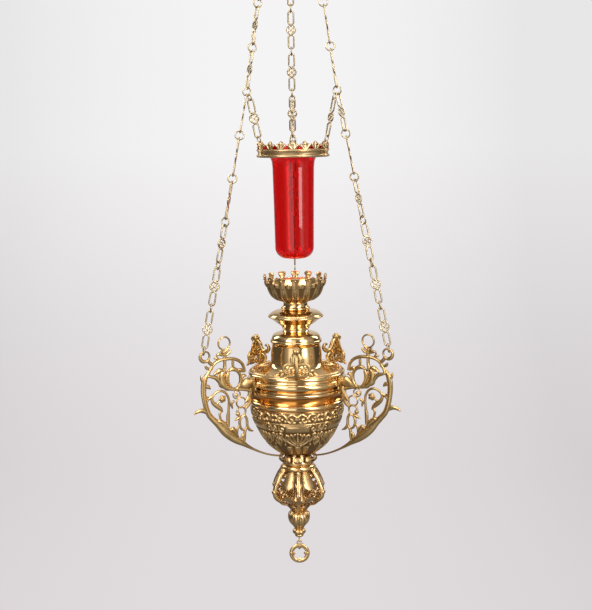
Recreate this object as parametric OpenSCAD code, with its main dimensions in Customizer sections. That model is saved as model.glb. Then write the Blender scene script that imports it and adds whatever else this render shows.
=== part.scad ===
// Hanging sanctuary lamp: a glass cylinder in a crown ring, over a turned and cast
// brass body with three scroll arms, all hung from a canopy by three link chains.
// Millimetres, +Z up. The origin is the centre of the hole in the hanging plate.

/* [Chains] */
// Distance between the centres of two connecting rings
chain_pitch = 86; // [80:1:90]
// Diameter of the wire of a connecting ring
ring_wire = 2.4; // [2:0.1:2.6]
// Inner radius of a connecting ring
ring_inner_r = 7.5; // [7.4:0.1:8]
// Thickness of a link's wire
link_wire = 2.6; // [2.2:0.1:2.7]
// Outer width of a link's loops
link_w = 14.6; // [13:0.2:16]
// Diameter of the pierced roundel in a link
roundel_d = 21; // [18:1:24]

/* [Canopy] */
// Radius of the canopy at its rim
canopy_r = 74; // [70:1:80]
// Radius of the circle that the chains hang on
hook_r = 59.5; // [58:0.5:61]
// Diameter of the hole in the hanging plate
hole_d = 14; // [10:1:14]
// Diameter of the swivel stem
stem_d = 10; // [8:1:12]

/* [Glass] */
// Outer radius of the glass under its collar
glass_r = 45; // [42:1:46]
// Outer radius of the glass near its foot
glass_foot_r = 40.4; // [38:0.2:42]
// Wall thickness of the glass
glass_wall = 2.4; // [2:0.2:3]

/* [Crown ring] */
// Outer radius of the crown ring's band
crown_r = 73; // [72:0.5:74]
// Number of leaves round the crown ring
crown_leaves = 18; // [15:3:21]

/* [Cup] */
// Radius of the cup where its leaves begin
cup_r = 61; // [59:0.5:62]
// Number of leaves round the cup
cup_leaves = 14; // [12:1:16]

/* [Body] */
// Radius of the large rim moulding
rim_r = 104; // [102:0.5:105]
// Radius of the tie rod
rod_r = 4; // [3:0.5:4]
// Thickness of the spun shells
shell = 2.6; // [2:0.2:3]

/* [Arms] */
// Thickness of a cast arm
arm_t = 7; // [6:0.5:8]
// Reach of a chain ring from the lamp's axis
arm_reach = 210.8; // [208:0.2:212]

/* [Pendant] */
// Radius of the knop at its scrolls
knop_r = 65; // [62:1:66]
// Number of scrolls round the knop
knop_scrolls_n = 6; // [5:1:6]
// Outer radius of the drop ring
drop_r = 22.6; // [21:0.2:23]

/* [Hidden] */
$fn = 72;

gap = 0.3;        // running clearance between loose pieces
link_gap = 0.7;   // a link lies turned in its rings, so it needs more room
ring_r = ring_inner_r + ring_wire / 2;
link_len = chain_pitch - 2 * (ring_inner_r - link_gap - link_wire);
left_dir = 210;
right_dir = 330;
back_dir = 90;

// Chain path: three pitches from the canopy to the junction, six from there to the arm
top_z = -119.2;
upper_tilt = 9.49;
lower_tilt = 12.165;
upper_links = 3;
lower_links = 6;
joint_r = hook_r + upper_links * chain_pitch * sin(upper_tilt);
joint_z = top_z - upper_links * chain_pitch * cos(upper_tilt);
end_z = joint_z - lower_links * chain_pitch * cos(lower_tilt);

// Short chain: from a small ring in the junction ring down to the crown ring's lug
small_inner_r = 5.4;
small_wire = 2.2;
small_ring_r = small_inner_r + small_wire / 2;
small_drop = ring_r + small_inner_r - ring_wire / 2 - 0.4;   // from the junction ring's centre to the small ring's
small_dir = 27.6;    // its direction from there, from straight down towards the lamp's axis
small_lean = 18.5;   // the small ring leans between that direction and its chain's
small_r = joint_r - small_drop * sin(small_dir);
small_z = joint_z - small_drop * cos(small_dir);
short_len = 80;
short_pitch = short_len + 2 * (small_inner_r - 1.2 * link_gap - link_wire);
lug_r = crown_r + 3.2;
lug_hole_r = 2.4;
lug_t = 2;
lug_ring_r = lug_r + 1.3;
short_tilt = asin((small_r - lug_ring_r) / short_pitch);
lug_ring_z = small_z - short_pitch * cos(short_tilt);
lug_hole_z = lug_ring_z - small_ring_r - lug_hole_r + small_wire / 2 + 2 * gap;

brass = [0.79, 0.62, 0.33];
pale_brass = [0.80, 0.72, 0.52];
deep_brass = [0.72, 0.48, 0.20];
iron = [0.45, 0.42, 0.38];
ruby = [0.75, 0.02, 0.08, 0.75];

// ---------- helpers ----------

// Points of an arc of radius r about c, from angle a0 to a1, in n steps
function arc(c, r, a0, a1, n = 8) = [for (i = [0:n]) c + r * [cos(a0 + (a1 - a0) * i / n), sin(a0 + (a1 - a0) * i / n)]];

// One point of a smooth curve between b and c, with neighbours a and d
function curve_point(a, b, c, d, t) =
    0.5 * (2 * b + (c - a) * t + (2 * a - 5 * b + 4 * c - d) * t * t + (3 * b - a - 3 * c + d) * t * t * t);

// A smooth curve through the points p, with n steps between two of them
function smooth(p, n = 4) = concat(
    [for (i = [0:len(p) - 2]) for (k = [0:n - 1])
        curve_point(p[max(i - 1, 0)], p[i], p[i + 1], p[min(i + 2, len(p) - 1)], k / n)],
    [p[len(p) - 1]]);

function flat(p) = [p[0], p[1]];
function side_of(p, i) =
    let (a = flat(p[max(i - 1, 0)]), b = flat(p[min(i + 1, len(p) - 1)]), d = (b - a) / norm(b - a)) [-d[1], d[0]];

// A scroll member: a band along the curve through [x, z, width] points
module stroke(points, n = 4) {
    p = smooth(points, n);
    last = len(p) - 1;
    polygon(concat(
        [for (i = [0:last]) flat(p[i]) + side_of(p, i) * p[i][2] / 2],
        [for (i = [last:-1:0]) flat(p[i]) - side_of(p, i) * p[i][2] / 2]));
}

module flat_ring(centre, outer, width) {
    translate(centre) difference() {
        circle(r = outer, $fn = 32);
        circle(r = outer - width, $fn = 32);
    }
}

// A closed ring of round wire, standing in the XZ plane
module wire_ring(inner, wire) {
    rotate([90, 0, 0]) rotate_extrude() translate([inner + wire / 2, 0]) circle(d = wire, $fn = 24);
}

// A turned piece with a hole for the tie rod
module turned(outline) {
    rotate_extrude($fn = 96) polygon(outline);
}

bore_r = rod_r + 0.2;

// ---------- hanging gear ----------

module hanging_plate() {
    color(brass) rotate([90, 0, 0]) linear_extrude(height = 8, center = true) difference() {
        union() {
            circle(r = 15);
            translate([-11, -28]) square([22, 28]);
            translate([0, -28]) circle(r = 11);
        }
        circle(d = hole_d);
        translate([0, -28]) circle(d = 8.6);
    }
}

module swivel_fork() {
    color(brass) {
        difference() {
            union() {
                for (side = [-1, 1])
                    translate([0, side * 7, -28]) rotate([90, 0, 0]) {
                        cylinder(h = 5, r = 11, center = true);
                        translate([0, -9, 0]) cube([22, 18, 5], center = true);
                    }
                translate([0, 0, -49]) cylinder(h = 8, r = 13);
            }
            translate([0, 0, -28]) rotate([90, 0, 0]) cylinder(h = 40, d = 8.2, center = true);
        }
        translate([0, 0, -86]) cylinder(h = 37.5, d = stem_d);
    }
}

module fork_pin() {
    color(pale_brass) translate([0, 0, -28]) rotate([90, 0, 0]) {
        cylinder(h = 19.4, d = 8, center = true);
        for (side = [-1, 1]) translate([0, 0, side * 11.2]) cylinder(h = 3, d = 13, center = true);
    }
}

module stem_nut() {
    color(pale_brass) translate([0, 0, -81.3]) difference() {
        cylinder(h = 8, r = 10, $fn = 6);
        translate([0, 0, -1]) cylinder(h = 10, d = stem_d);
    }
}

module canopy() {
    boss_top = -50;
    color(brass) turned(concat(
        [[stem_d / 2 + 0.3, boss_top], [13, boss_top], [15, -52], [15, -56]],
        arc([54, -56], 37, 180, 232, 6),
        [[44, -88], [58, -90.5], [canopy_r - 4, -92]],
        arc([canopy_r - 3, -95.5], 3.5, 90, -90, 8),
        [[canopy_r - 5, -99], [canopy_r - 5, -94.5], [57, -93], [42, -90.5]],
        arc([54, -56], 39.6, 230, 184, 6),
        [[13, -73], [stem_d / 2 + 0.3, -73]]));
}

module canopy_plate() {
    color(brass) translate([0, 0, -99]) difference() {
        cylinder(h = 3, r = canopy_r - 5.2);
        translate([0, 0, -1]) cylinder(h = 5, r = 14);
        for (dir = [left_dir, right_dir, back_dir])
            rotate(dir) translate([hook_r, 0, -1]) cylinder(h = 5, d = 5.2);
    }
}

hook_z = top_z + ring_inner_r + 4 - gap;

// Each hook's eye stands square to its chain's first ring
module canopy_hooks() {
    color(brass) for (place = [[left_dir, left_turns], [right_dir, right_turns], [back_dir, back_turns]])
        rotate(place[0]) translate([hook_r, 0, 0]) {
        rotate(place[1][0] - place[0]) translate([0, 0, hook_z]) wire_ring(4, 3);
        translate([0, 0, hook_z + 5.6]) cylinder(h = -99 - hook_z - 5.6, r = 4);
        translate([0, 0, -99]) cylinder(h = 4.8, d = 5);
    }
}

module hook_nuts() {
    color(pale_brass) for (dir = [left_dir, right_dir, back_dir])
        rotate(dir) translate([hook_r, 0, -96]) difference() {
            cylinder(h = 1.6, r = 4.6, $fn = 6);
            translate([0, 0, -1]) cylinder(h = 4, d = 5);
        }
}

// ---------- chains ----------

module link_loop(length) {
    half = length / 2 - link_w / 2;
    difference() {
        union() {
            square([link_w, 2 * half], center = true);
            for (end = [-1, 1]) translate([0, end * half]) circle(d = link_w, $fn = 32);
        }
        square([link_w - 2 * link_wire, 2 * half], center = true);
        for (end = [-1, 1]) translate([0, end * half]) circle(d = link_w - 2 * link_wire, $fn = 32);
    }
}

// One link along Z: a loop, a pierced roundel and a loop
module link(length) {
    loop = (length - roundel_d) / 2 + 1.5;
    rotate([90, 0, 0]) linear_extrude(height = link_wire, center = true) {
        for (end = [-1, 1]) translate([0, end * (length - loop) / 2]) link_loop(loop);
        difference() {
            circle(d = roundel_d);
            for (a = [0:90:270]) rotate(a) translate([roundel_d * 0.2, 0]) circle(d = roundel_d * 0.26, $fn = 24);
        }
    }
}

// Turns of the links about the chain, from the canopy down, in degrees from the front
left_turns = [120, 120, 120, 95, 90, 80, 45, 10, 0];
right_turns = [90, 90, 80, 50, 90, 50, 15, 0, 0];
back_turns = [0, 0, 0, 0, 0, 0, 0, 90, 90];
// A ring stands square to the links it joins, the junction ring stands in the chain's radial
// plane, and the last ring stands square to its link and the arm's eye, which lies along eye_dir
function ring_turn(dir, turns, eye_dir, i) = i == upper_links ? dir :
    90 + (turns[max(i - 1, 0)] + (i == len(turns) ? eye_dir : turns[i])) / 2;

// Moves a piece to the place i pitches down the chain that hangs in direction dir
module on_chain(dir, i) {
    below = max(i - upper_links, 0);
    above = min(i, upper_links);
    r = hook_r + chain_pitch * (above * sin(upper_tilt) + below * sin(lower_tilt));
    z = top_z - chain_pitch * (above * cos(upper_tilt) + below * cos(lower_tilt));
    tilt = i < upper_links ? upper_tilt : i == upper_links ? (upper_tilt + lower_tilt) / 2 : lower_tilt;
    rotate(dir) translate([r, 0, z]) rotate([0, -tilt, 0]) rotate(-dir) children();
}

module chain_links(dir, turns) {
    color(pale_brass) for (i = [0:len(turns) - 1])
        on_chain(dir, i + 0.5) rotate(turns[i]) link(link_len);
}

module chain_rings(dir, turns, eye_dir) {
    color(pale_brass) for (i = [0:len(turns)])
        on_chain(dir, i) rotate(ring_turn(dir, turns, eye_dir, i)) wire_ring(ring_inner_r, ring_wire);
}

module short_chain(dir, turn) {
    color(pale_brass) rotate(dir) translate([small_r, 0, small_z]) {
        rotate([0, small_lean, 0]) rotate(90) wire_ring(small_inner_r, small_wire);
        rotate([0, short_tilt, 0]) {
            translate([0, 0, -short_pitch / 2]) rotate(turn - dir) link(short_len);
            translate([0, 0, -short_pitch]) rotate(90) wire_ring(small_inner_r, small_wire);
        }
    }
}

// ---------- crown ring and glass ----------

crown_top = -486;
crown_bottom = -503;

module crown_ring() {
    color(brass) turned(concat(
        [[crown_r - 3, crown_top], [crown_r - 1, crown_top]],
        arc([crown_r - 1.5, crown_top - 3], 2, 80, -80, 5),
        [[crown_r - 1.5, crown_top - 7], [crown_r - 1.5, crown_bottom + 6]],
        arc([crown_r - 2, crown_bottom + 3], 3, 80, -90, 6),
        [[51, crown_bottom], [51, crown_bottom + 3], [crown_r - 3, crown_bottom + 3]]));
}

// A row of leaves cut from a wall, each with a rounded top
module leaf_row(n, r, z, h, wall) {
    leaf_w = 2 * PI * r / n;
    cut_w = leaf_w * 0.4;
    difference() {
        turned([[r - wall, z], [r, z], [r, z + h], [r - wall, z + h]]);
        for (i = [0:n - 1]) rotate((i + 0.5) * 360 / n) translate([r - wall - 1, 0, z]) rotate([90, 0, 90])
            linear_extrude(height = wall + 2) {
                translate([-cut_w / 2, h * 0.55]) square([cut_w, h]);
                translate([0, h * 0.5]) circle(r = cut_w * 0.62, $fn = 20);
            }
    }
}

module crown_cresting() {
    color(brass) leaf_row(crown_leaves, crown_r - 1.2, crown_top, 14, 1.8);
}

module crown_lugs() {
    color(brass) for (dir = [left_dir, right_dir, back_dir]) rotate(dir)
        rotate([90, 0, 0]) linear_extrude(height = lug_t, center = true) difference() {
            union() {
                translate([lug_r, lug_hole_z]) circle(r = 4.5, $fn = 32);
                translate([lug_r - 1.9, crown_bottom + 5]) square([3, lug_hole_z - crown_bottom - 7]);
            }
            translate([lug_r, lug_hole_z]) circle(r = lug_hole_r, $fn = 32);
        }
}

glass_bottom = -708;

module ruby_glass() {
    foot_c = 22;
    color(ruby) turned(concat(
        [[0, glass_bottom]],
        [for (p = arc([glass_foot_r - foot_c, glass_bottom + foot_c], foot_c, -90, 0, 8)) p],
        [[glass_r, -512], [47, -505], [52, -498.5], [61, -492], [65, -486], [66.5, -480], [64.5, -479.5],
         [62.6, -485.6], [59, -489.6], [50, -496], [44.5, -504], [glass_r - glass_wall, -512]],
        [for (p = arc([glass_foot_r - foot_c, glass_bottom + foot_c], foot_c - glass_wall, 0, -90, 8)) p],
        [[0, glass_bottom + glass_wall]]));
}

// ---------- cup and stem ----------

cup_top = -757;

module cup_gallery() {
    color(brass) leaf_row(cup_leaves, cup_r + 1.4, cup_top, 20, 2.6);
}

module candle_cup() {
    color(brass) turned([
        [bore_r, -797], [26, -797], [32, -795.4], [42, -792], [49, -787.4], [53.5, -781.4], [56.2, -774],
        [59, -763], [cup_r + 1.4, cup_top], [cup_r - 1.4, cup_top], [56.4, -763], [53.6, -773.6],
        [51, -780], [47, -785], [40.6, -789.2], [30, -792.4], [12, -793.4], [bore_r, -793.4]]);
}

module cup_neck() {
    color(brass) turned(concat(
        [[bore_r, -814], [26, -814]],
        arc([26, -810.6], 3.4, -90, 90, 8),
        [[25.6, -805], [24.8, -801], [26, -797], [bore_r, -797]]));
}

module drip_pan() {
    color(brass) turned([
        [bore_r, -814], [28, -814], [36, -815.2], [45, -818], [52, -822], [56.4, -827], [56.2, -829.4],
        [52, -832], [45.6, -836.4], [40, -841], [33, -845.6], [28.4, -850], [bore_r, -850]]);
}

module neck_baluster() {
    color(brass) turned(concat(
        [[bore_r, -860.6], [28.4, -860.6], [26, -858]],
        arc([26.6, -852.2], 2.2, -60, 90, 6),
        [[bore_r, -850]]));
}

// ---------- bell and shoulder ----------

module bell_cap() {
    color(brass) turned(concat(
        [[bore_r, -866], [bore_r, -860.6], [33, -860.6], [42.6, -863.4], [49.4, -869.4]],
        arc([49.2, -879.4], 4, 60, -80, 8),
        [[48, -886], [46, -886], [46, -878], [42, -870], [30, -866]]));
}

module bell() {
    color(brass) turned(concat(
        [[48, -886], [50.2, -886]],
        smooth([[50.2, -890], [52, -900], [52.6, -912], [52.4, -922]], 3),
        [[52.4 - shell, -922]],
        smooth([[50, -912], [49.4, -900], [47.8, -890]], 3)));
}

module shoulder_dish() {
    lid = smooth([[52.4, -922], [54.6, -928], [61, -934], [74, -938.4], [85.8, -940.4]], 3);
    color(brass) turned(concat(lid, [for (i = [len(lid) - 1:-1:0]) lid[i] - [shell * 0.7, shell * 0.7]]));
}

module leaf_band() {
    color(brass) turned(concat(
        [[86, -944.5], [86, -941]],
        arc([90.5, -941], 4.5, 180, 0, 8),
        [[95, -944.5]]));
}

// ---------- rim and bowl ----------

module rim_upper_moulding() {
    color(brass) turned(concat(
        [[86, -946.5], [86, -944.5], [95.1, -944.5], [95.1, -940.5]],
        arc([95.4, -944.5], 4.9, 80, -70, 8),
        [[98, -951.5], [95.4, -951.5], [95, -947]]));
}

module rim_moulding() {
    color(brass) turned(concat(
        [[95.4, -951.5], [98, -951.5]],
        arc([rim_r - 8, -959.6], 8, 75, -70, 10),
        [[rim_r - 1.5, -968.4], [rim_r - 1.5, -971.6], [rim_r - 3.5, -972.6]],
        arc([rim_r - 6, -977], 4.5, 70, -80, 6),
        [[98, -982], [95.4, -982]]));
}

module cove_ring() {
    cove = arc([105.6, -989], 10.8, 142, 216, 8);
    color(deep_brass) turned(concat(
        [[95.4, -982], [98, -982]], cove, [[97.4, -996.5], [92, -996.5], [92, -989]]));
}

module bowl_ring() {
    color(brass) turned(concat(
        [[90, -996.5], [94, -996.5]],
        arc([92, -1003.4], 6.8, 80, -75, 8),
        [[94, -1010.4], [90, -1010.4]]));
}

module bowl() {
    outer = smooth([[96.6, -1010.4], [96.4, -1026], [94.2, -1042], [86, -1060], [76.6, -1080], [63, -1098],
        [50, -1108.5], [36, -1117]], 3);
    last = len(outer) - 1;
    color(brass) turned(concat(
        outer, [[bore_r, -1117], [bore_r, -1113], [33, -1113]],
        [for (i = [last - 1:-1:1]) outer[i] - side_of(outer, i) * shell],
        [[96.6 - shell, -1010.4]]));
}

// ---------- arms ----------

eye_z = end_z - 11.4;
eye_r = arm_reach - 2.2;

// The arm's outline in its own plane: x is the distance from the lamp's axis
module arm_outline() {
    // chain eye: a closed loop, then the member that carries it
    flat_ring([eye_r, eye_z], 11.2, 3.7);
    stroke([[eye_r - 3, eye_z - 8.6, 4.4], [199, -904, 5], [191, -909.5, 4.4]]);
    // top scroll with its stem
    flat_ring([166, -867], 14.5, 4);
    stroke([[171, -879, 3.6], [167, -888, 4], [165, -899, 4.6]]);
    // arch from the outer member to the rim
    stroke([[197, -909, 3.6], [184, -901, 4.4], [168, -898.5, 5], [150, -899.5, 4.6], [134, -906, 4.4],
        [124, -918, 4.2], [122, -930, 3.4]], 3);
    // root leaf against the rim
    polygon([[124, -925], [114, -933], [105.4, -946], [105.4, -968], [120, -967.4], [131, -961], [127, -945]]);
    // hangers from the arch to the calyx
    stroke([[147, -899, 3], [147, -928, 3]], 1);
    stroke([[166, -899, 4], [164, -924, 6]], 1);
    // calyx of leaves
    polygon(smooth([[150, -921], [163, -926], [184, -920], [186, -929], [174, -944], [161, -962], [152, -955],
        [154, -938], [150, -921]], 2));
    stroke([[152, -924, 4], [141, -928, 3.4], [132, -938, 3], [130, -950, 3], [136, -960, 3.4]], 3);
    // outer member, from the arch down to the foot leaf
    stroke([[193, -908, 3.6], [200, -921, 4], [207, -934, 5], [213, -950, 6.4], [214, -968, 7],
        [210, -984, 7.6], [204, -1000, 8], [196, -1014, 8.6], [182, -1030, 10], [165, -1048, 14],
        [146, -1065, 12], [126, -1079, 8], [111, -1087, 4.4], [94, -1095, 3], [78, -1100.6, 2.6],
        [61, -1106.6, 2.6], [38, -1119.4, 2.6]], 2);
    // outer leaf tip
    stroke([[202, -1008, 5], [214, -1001, 6], [224, -998, 5], [238, -1001, 1]], 3);
    stroke([[206, -946, 5], [214, -936, 4.4], [217, -926, 1]], 2);
    // branch that runs back to the rim
    stroke([[203, -930, 4.4], [190, -932, 6], [178, -944, 6.6], [166, -957, 6.6], [152, -963, 5.4],
        [136, -965, 4.4], [112, -966, 4.4]], 3);
    // large lower scroll, with its flower and stem
    flat_ring([178, -984], 19.6, 3.4);
    stroke([[196, -982, 4], [204, -976, 4], [210, -976, 3]], 2);
    stroke([[193, -986, 4], [186, -994, 6], [178, -1003, 5], [175, -1014, 3]], 2);
    stroke([[159.6, -984, 3.4], [157, -1004, 4], [158, -1024, 5], [160, -1044, 5]], 2);
    flat_ring([172, -981], 6.4, 3);
    stroke([[175, -985, 3], [181, -991, 3.4], [186, -996, 4]], 1);
    stroke([[172, -1014, 3.4], [178, -1026, 3.4], [174, -1038, 4]], 2);
    // small rings between the branch and the bowl
    flat_ring([142, -976], 9, 3.2);
    flat_ring([131, -993], 12, 3.4);
    flat_ring([134, -1014], 11, 3.4);
    stroke([[112, -966, 6], [112, -980, 6], [118, -990, 5], [122, -994, 4]], 2);
    stroke([[142, -986, 3], [150, -992, 3], [158, -994, 3.4]], 2);
    stroke([[125, -1002, 3.4], [121, -1014, 3.6], [119, -1036, 4.4], [123, -1052, 4], [124, -1072, 5]], 2);
    stroke([[119, -1046, 4], [113, -1054, 3.4], [106, -1057, 1]], 2);
    flat_ring([131, -1038], 8, 2.8);
    stroke([[134, -1033, 3], [144, -1027, 3.4], [152, -1030, 1.6]], 2);
    stroke([[136, -1044, 3], [142, -1054, 4], [146, -1064, 5]], 2);
}

// A curved foot plate that the arm's inner end spreads into, on the rim
foot_plate_r = rim_r + 0.4;

module foot_plate() {
    rotate(-15) rotate_extrude(angle = 30) polygon([[foot_plate_r, -966], [foot_plate_r + 3, -966],
        [foot_plate_r + 3, -951], [foot_plate_r, -951]]);
}

module arm(dir) {
    color(brass) rotate(dir) difference() {
        union() {
            rotate([90, 0, 0]) linear_extrude(height = arm_t, center = true) arm_outline();
            foot_plate();
        }
        for (side = [-1, 1]) rotate(side * 11) translate([rim_r - 2, 0, -959.6]) rotate([0, 90, 0])
            cylinder(h = 12, d = 4.4, $fn = 24);
    }
}

module arm_screws() {
    color(pale_brass) for (dir = [left_dir, right_dir, back_dir]) for (side = [-1, 1])
        rotate(dir + side * 11) translate([rim_r + 0.1, 0, -959.6]) rotate([0, 90, 0]) {
            cylinder(h = 3.6, d = 4, $fn = 24);
            translate([0, 0, 3.6]) cylinder(h = 2.4, d = 7, $fn = 24);
        }
}

// ---------- shoulder brackets ----------

// Side view of a bracket in its radial plane
module bracket_side() {
    stroke([[104, -886, 6], [97, -881, 6], [90, -886, 6], [88, -898, 6.4], [92, -912, 6], [96, -924, 6.4],
        [94, -934, 6]], 3);
    stroke([[89, -896, 4.4], [79, -893, 4.4], [69, -900, 4.4], [65, -912, 4.4], [70, -922, 4.4],
        [80, -921, 4.4], [84, -912, 3.6]], 3);
    stroke([[66, -914, 4.4], [67, -925, 4.4], [75, -931.6, 4.4], [86, -933.4, 4.4], [93, -933.4, 4]], 3);
}

module bracket(dir) {
    color(brass) rotate(dir) {
        rotate([90, 0, 0]) linear_extrude(height = 6, center = true) bracket_side();
        translate([103, 0, -884]) sphere(r = 7.5, $fn = 32);
        for (side = [-1, 1]) translate([93, side * 14, -920]) rotate([90, 0, 90])
            linear_extrude(height = 5, center = true) {
                flat_ring([0, 0], 12, 4.4);
                translate([-side * 8, 6]) circle(r = 6, $fn = 24);
            }
        translate([90.5, 0, -934.5]) cube([9, 30, 3.6], center = true);
    }
}

module bracket_screws() {
    color(pale_brass) for (dir = [30, 150, 270]) for (side = [-1, 1])
        rotate(dir) translate([88.2, side * 11, -932.6]) cylinder(h = 1.6, d = 3.6, $fn = 24);
}

// ---------- pendant ----------

module pendant_collar() {
    color(brass) turned([
        [bore_r, -1141], [31, -1141], [36, -1137], [38, -1132.6], [40.4, -1128], [39.4, -1124.4],
        [34, -1121], [28, -1119], [27, -1117], [bore_r, -1117]]);
}

// The knop's core with a bore of radius r
module knop_core_body(r) {
    turned(concat(
        [[r, -1229], [17, -1229], [19, -1222]],
        smooth([[14, -1212], [11, -1200], [11, -1182], [15, -1166], [24, -1156]], 2),
        arc([29, -1148], 6.4, -60, 60, 6),
        [[30, -1141], [r, -1141]]));
}

module knop_core() {
    color(brass) knop_core_body(bore_r);
}

module knop_scroll() {
    stroke([[24, -1156, 5], [35, -1153, 6], [45, -1161, 8], [54, -1170, 8.4], [knop_r - 5, -1184, 8.6],
        [knop_r - 4.6, -1200, 8.8], [54, -1214, 8], [42, -1221, 7], [30, -1226, 6], [18, -1226, 5]], 3);
    stroke([[57, -1206, 5], [47, -1204, 5], [44, -1196, 5], [48, -1189, 4.4], [54, -1192, 3]], 3);
    stroke([[48, -1168, 4.4], [42, -1176, 4.4], [34, -1176, 4], [32, -1169, 3]], 2);
}

module knop_scrolls() {
    color(brass) difference() {
        for (i = [0:knop_scrolls_n - 1]) rotate(30 + i * 360 / knop_scrolls_n)
            rotate([90, 0, 0]) linear_extrude(height = 7, center = true) intersection() {
                knop_scroll();
                translate([17, -1228.6]) square([60, 86]);
            }
        knop_core_body(0);
    }
}

module knop_petals() {
    color(brass) turned(concat(
        [[bore_r, -1246], [16.4, -1246], [17.4, -1242], [21.6, -1237.6], [24.5, -1233], [25, -1229],
         [bore_r, -1229]]));
}

module pendant_vase() {
    color(brass) turned(concat(
        [[0, -1304], [5, -1304], [9, -1302.6]],
        arc([8, -1295.2], 6.4, -60, 60, 8),
        [[9.6, -1287], [10.4, -1284], [12.4, -1281], [14.6, -1277.4], [18.4, -1273], [21, -1268.4], [22.8, -1262],
         [22.6, -1255.4], [20.6, -1250.6], [16.4, -1246], [bore_r, -1246], [bore_r, -1262], [0, -1262]]));
}

pull_z = -1311.5;

module pendant_eye() {
    color(brass) rotate([90, 0, 90]) linear_extrude(height = 3, center = true) difference() {
        union() {
            translate([0, pull_z]) circle(r = 4.6, $fn = 32);
            translate([-3.2, pull_z]) square([6.4, -1304 - pull_z]);
        }
        translate([0, pull_z]) circle(r = 2.3, $fn = 32);
    }
}

module drop_ring() {
    centre_z = -1341;
    wire = 2.8;
    bail_r = 3.9;
    color(brass) {
        rotate([90, 0, 0]) linear_extrude(height = 5, center = true) difference() {
            translate([0, centre_z]) circle(r = drop_r);
            translate([0, centre_z]) difference() {
                circle(r = drop_r - 4.6);
                for (a = [0:90:270]) rotate(a) translate([drop_r - 6.6, 0]) circle(r = 5.2, $fn = 24);
            }
        }
        // bail: a half ring of round wire, and two legs down to the ring
        translate([0, 0, pull_z - bail_r]) {
            rotate([90, 0, 0]) rotate_extrude(angle = 180) translate([bail_r, 0]) circle(d = wire, $fn = 24);
            for (side = [-1, 1]) translate([side * bail_r, 0, -5]) cylinder(h = 5, d = wire, $fn = 24);
        }
    }
}

// ---------- rod and nuts ----------

module tie_rod() {
    color(iron) translate([0, 0, -1262]) cylinder(h = 1262 - 780, r = rod_r);
}

module rod_nut(z, r) {
    color(pale_brass) translate([0, 0, z]) difference() {
        cylinder(h = 6, r = r, $fn = 6);
        translate([0, 0, -1]) cylinder(h = 8, r = rod_r);
    }
}

module cup_nut() { rod_nut(-793.4, 9); }
module bowl_nut() { rod_nut(-1113, 10); }

hanging_plate();
swivel_fork();
fork_pin();
stem_nut();
canopy();
canopy_plate();
canopy_hooks();
hook_nuts();
chain_links(left_dir, left_turns);  // left_chain_links
chain_rings(left_dir, left_turns, left_dir - 180);  // left_chain_rings
chain_links(right_dir, right_turns);  // right_chain_links
chain_rings(right_dir, right_turns, right_dir - 360);  // right_chain_rings
chain_links(back_dir, back_turns);  // back_chain_links
chain_rings(back_dir, back_turns, back_dir);  // back_chain_rings
short_chain(left_dir, 0);  // left_short_chain
short_chain(right_dir, 120);  // right_short_chain
short_chain(back_dir, 75);  // back_short_chain
crown_ring();
crown_cresting();
crown_lugs();
ruby_glass();
cup_gallery();
candle_cup();
cup_neck();
drip_pan();
neck_baluster();
bell_cap();
bell();
shoulder_dish();
leaf_band();
rim_upper_moulding();
rim_moulding();
cove_ring();
bowl_ring();
bowl();
arm(left_dir);  // left_arm
arm(right_dir);  // right_arm
arm(back_dir);  // back_arm
arm_screws();
bracket(150);  // left_bracket
bracket(30);  // right_bracket
bracket(270);  // front_bracket
bracket_screws();
pendant_collar();
knop_core();
knop_scrolls();
knop_petals();
pendant_vase();
pendant_eye();
drop_ring();
tie_rod();
cup_nut();
bowl_nut();
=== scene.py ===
import math

import bmesh
import bpy
import numpy as np
from mathutils import Matrix, Vector


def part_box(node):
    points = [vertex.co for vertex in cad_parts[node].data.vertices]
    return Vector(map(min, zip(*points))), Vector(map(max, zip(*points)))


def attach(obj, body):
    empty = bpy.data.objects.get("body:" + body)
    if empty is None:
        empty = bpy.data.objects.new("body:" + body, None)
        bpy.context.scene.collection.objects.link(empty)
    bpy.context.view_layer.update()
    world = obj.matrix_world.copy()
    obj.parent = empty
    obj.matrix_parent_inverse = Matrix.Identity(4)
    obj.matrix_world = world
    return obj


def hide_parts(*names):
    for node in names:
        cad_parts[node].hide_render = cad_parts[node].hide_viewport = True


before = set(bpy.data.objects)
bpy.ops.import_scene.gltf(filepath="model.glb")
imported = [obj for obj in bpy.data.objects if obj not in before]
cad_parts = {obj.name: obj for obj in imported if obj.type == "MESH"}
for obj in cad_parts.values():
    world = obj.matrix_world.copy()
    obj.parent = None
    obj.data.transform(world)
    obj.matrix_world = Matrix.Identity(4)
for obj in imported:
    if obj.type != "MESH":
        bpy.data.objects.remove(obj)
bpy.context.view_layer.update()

mm = 0.001
tau = 2 * math.pi
armDirs = {"left": 210, "right": 330, "back": 90}
bracketDirs = {"left": 150, "right": 30, "front": 270}


def topOf(node):
    # height of a node's top in mm
    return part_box(node)[1][2] / mm


def footOf(node):
    # height of a node's foot in mm
    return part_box(node)[0][2] / mm


# camera
camera = {
    "place": (0.00102, -2.3153, -0.44166),   # metres, in the lamp's own frame
    "down": 8.933,      # degrees below level
    "roll": -0.938,     # degrees about the line of sight
    "lens": 67.18,      # mm on a 36 mm sensor
}


def addCamera():
    data = bpy.data.cameras.new("studioCamera")
    data.lens = camera["lens"]
    data.sensor_width = 36
    data.clip_end = 60
    cam = bpy.data.objects.new("studioCamera", data)
    bpy.context.collection.objects.link(cam)
    tilt = Matrix.Rotation(math.radians(90 - camera["down"]), 4, "X")
    roll = Matrix.Rotation(math.radians(camera["roll"]), 4, "Z")
    cam.matrix_world = Matrix.Translation(camera["place"]) @ tilt @ roll
    bpy.context.scene.camera = cam


addCamera()
bpy.context.scene.view_settings.view_transform = "Standard"   # colours as they are, with no film curve
print("camera set")


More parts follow.
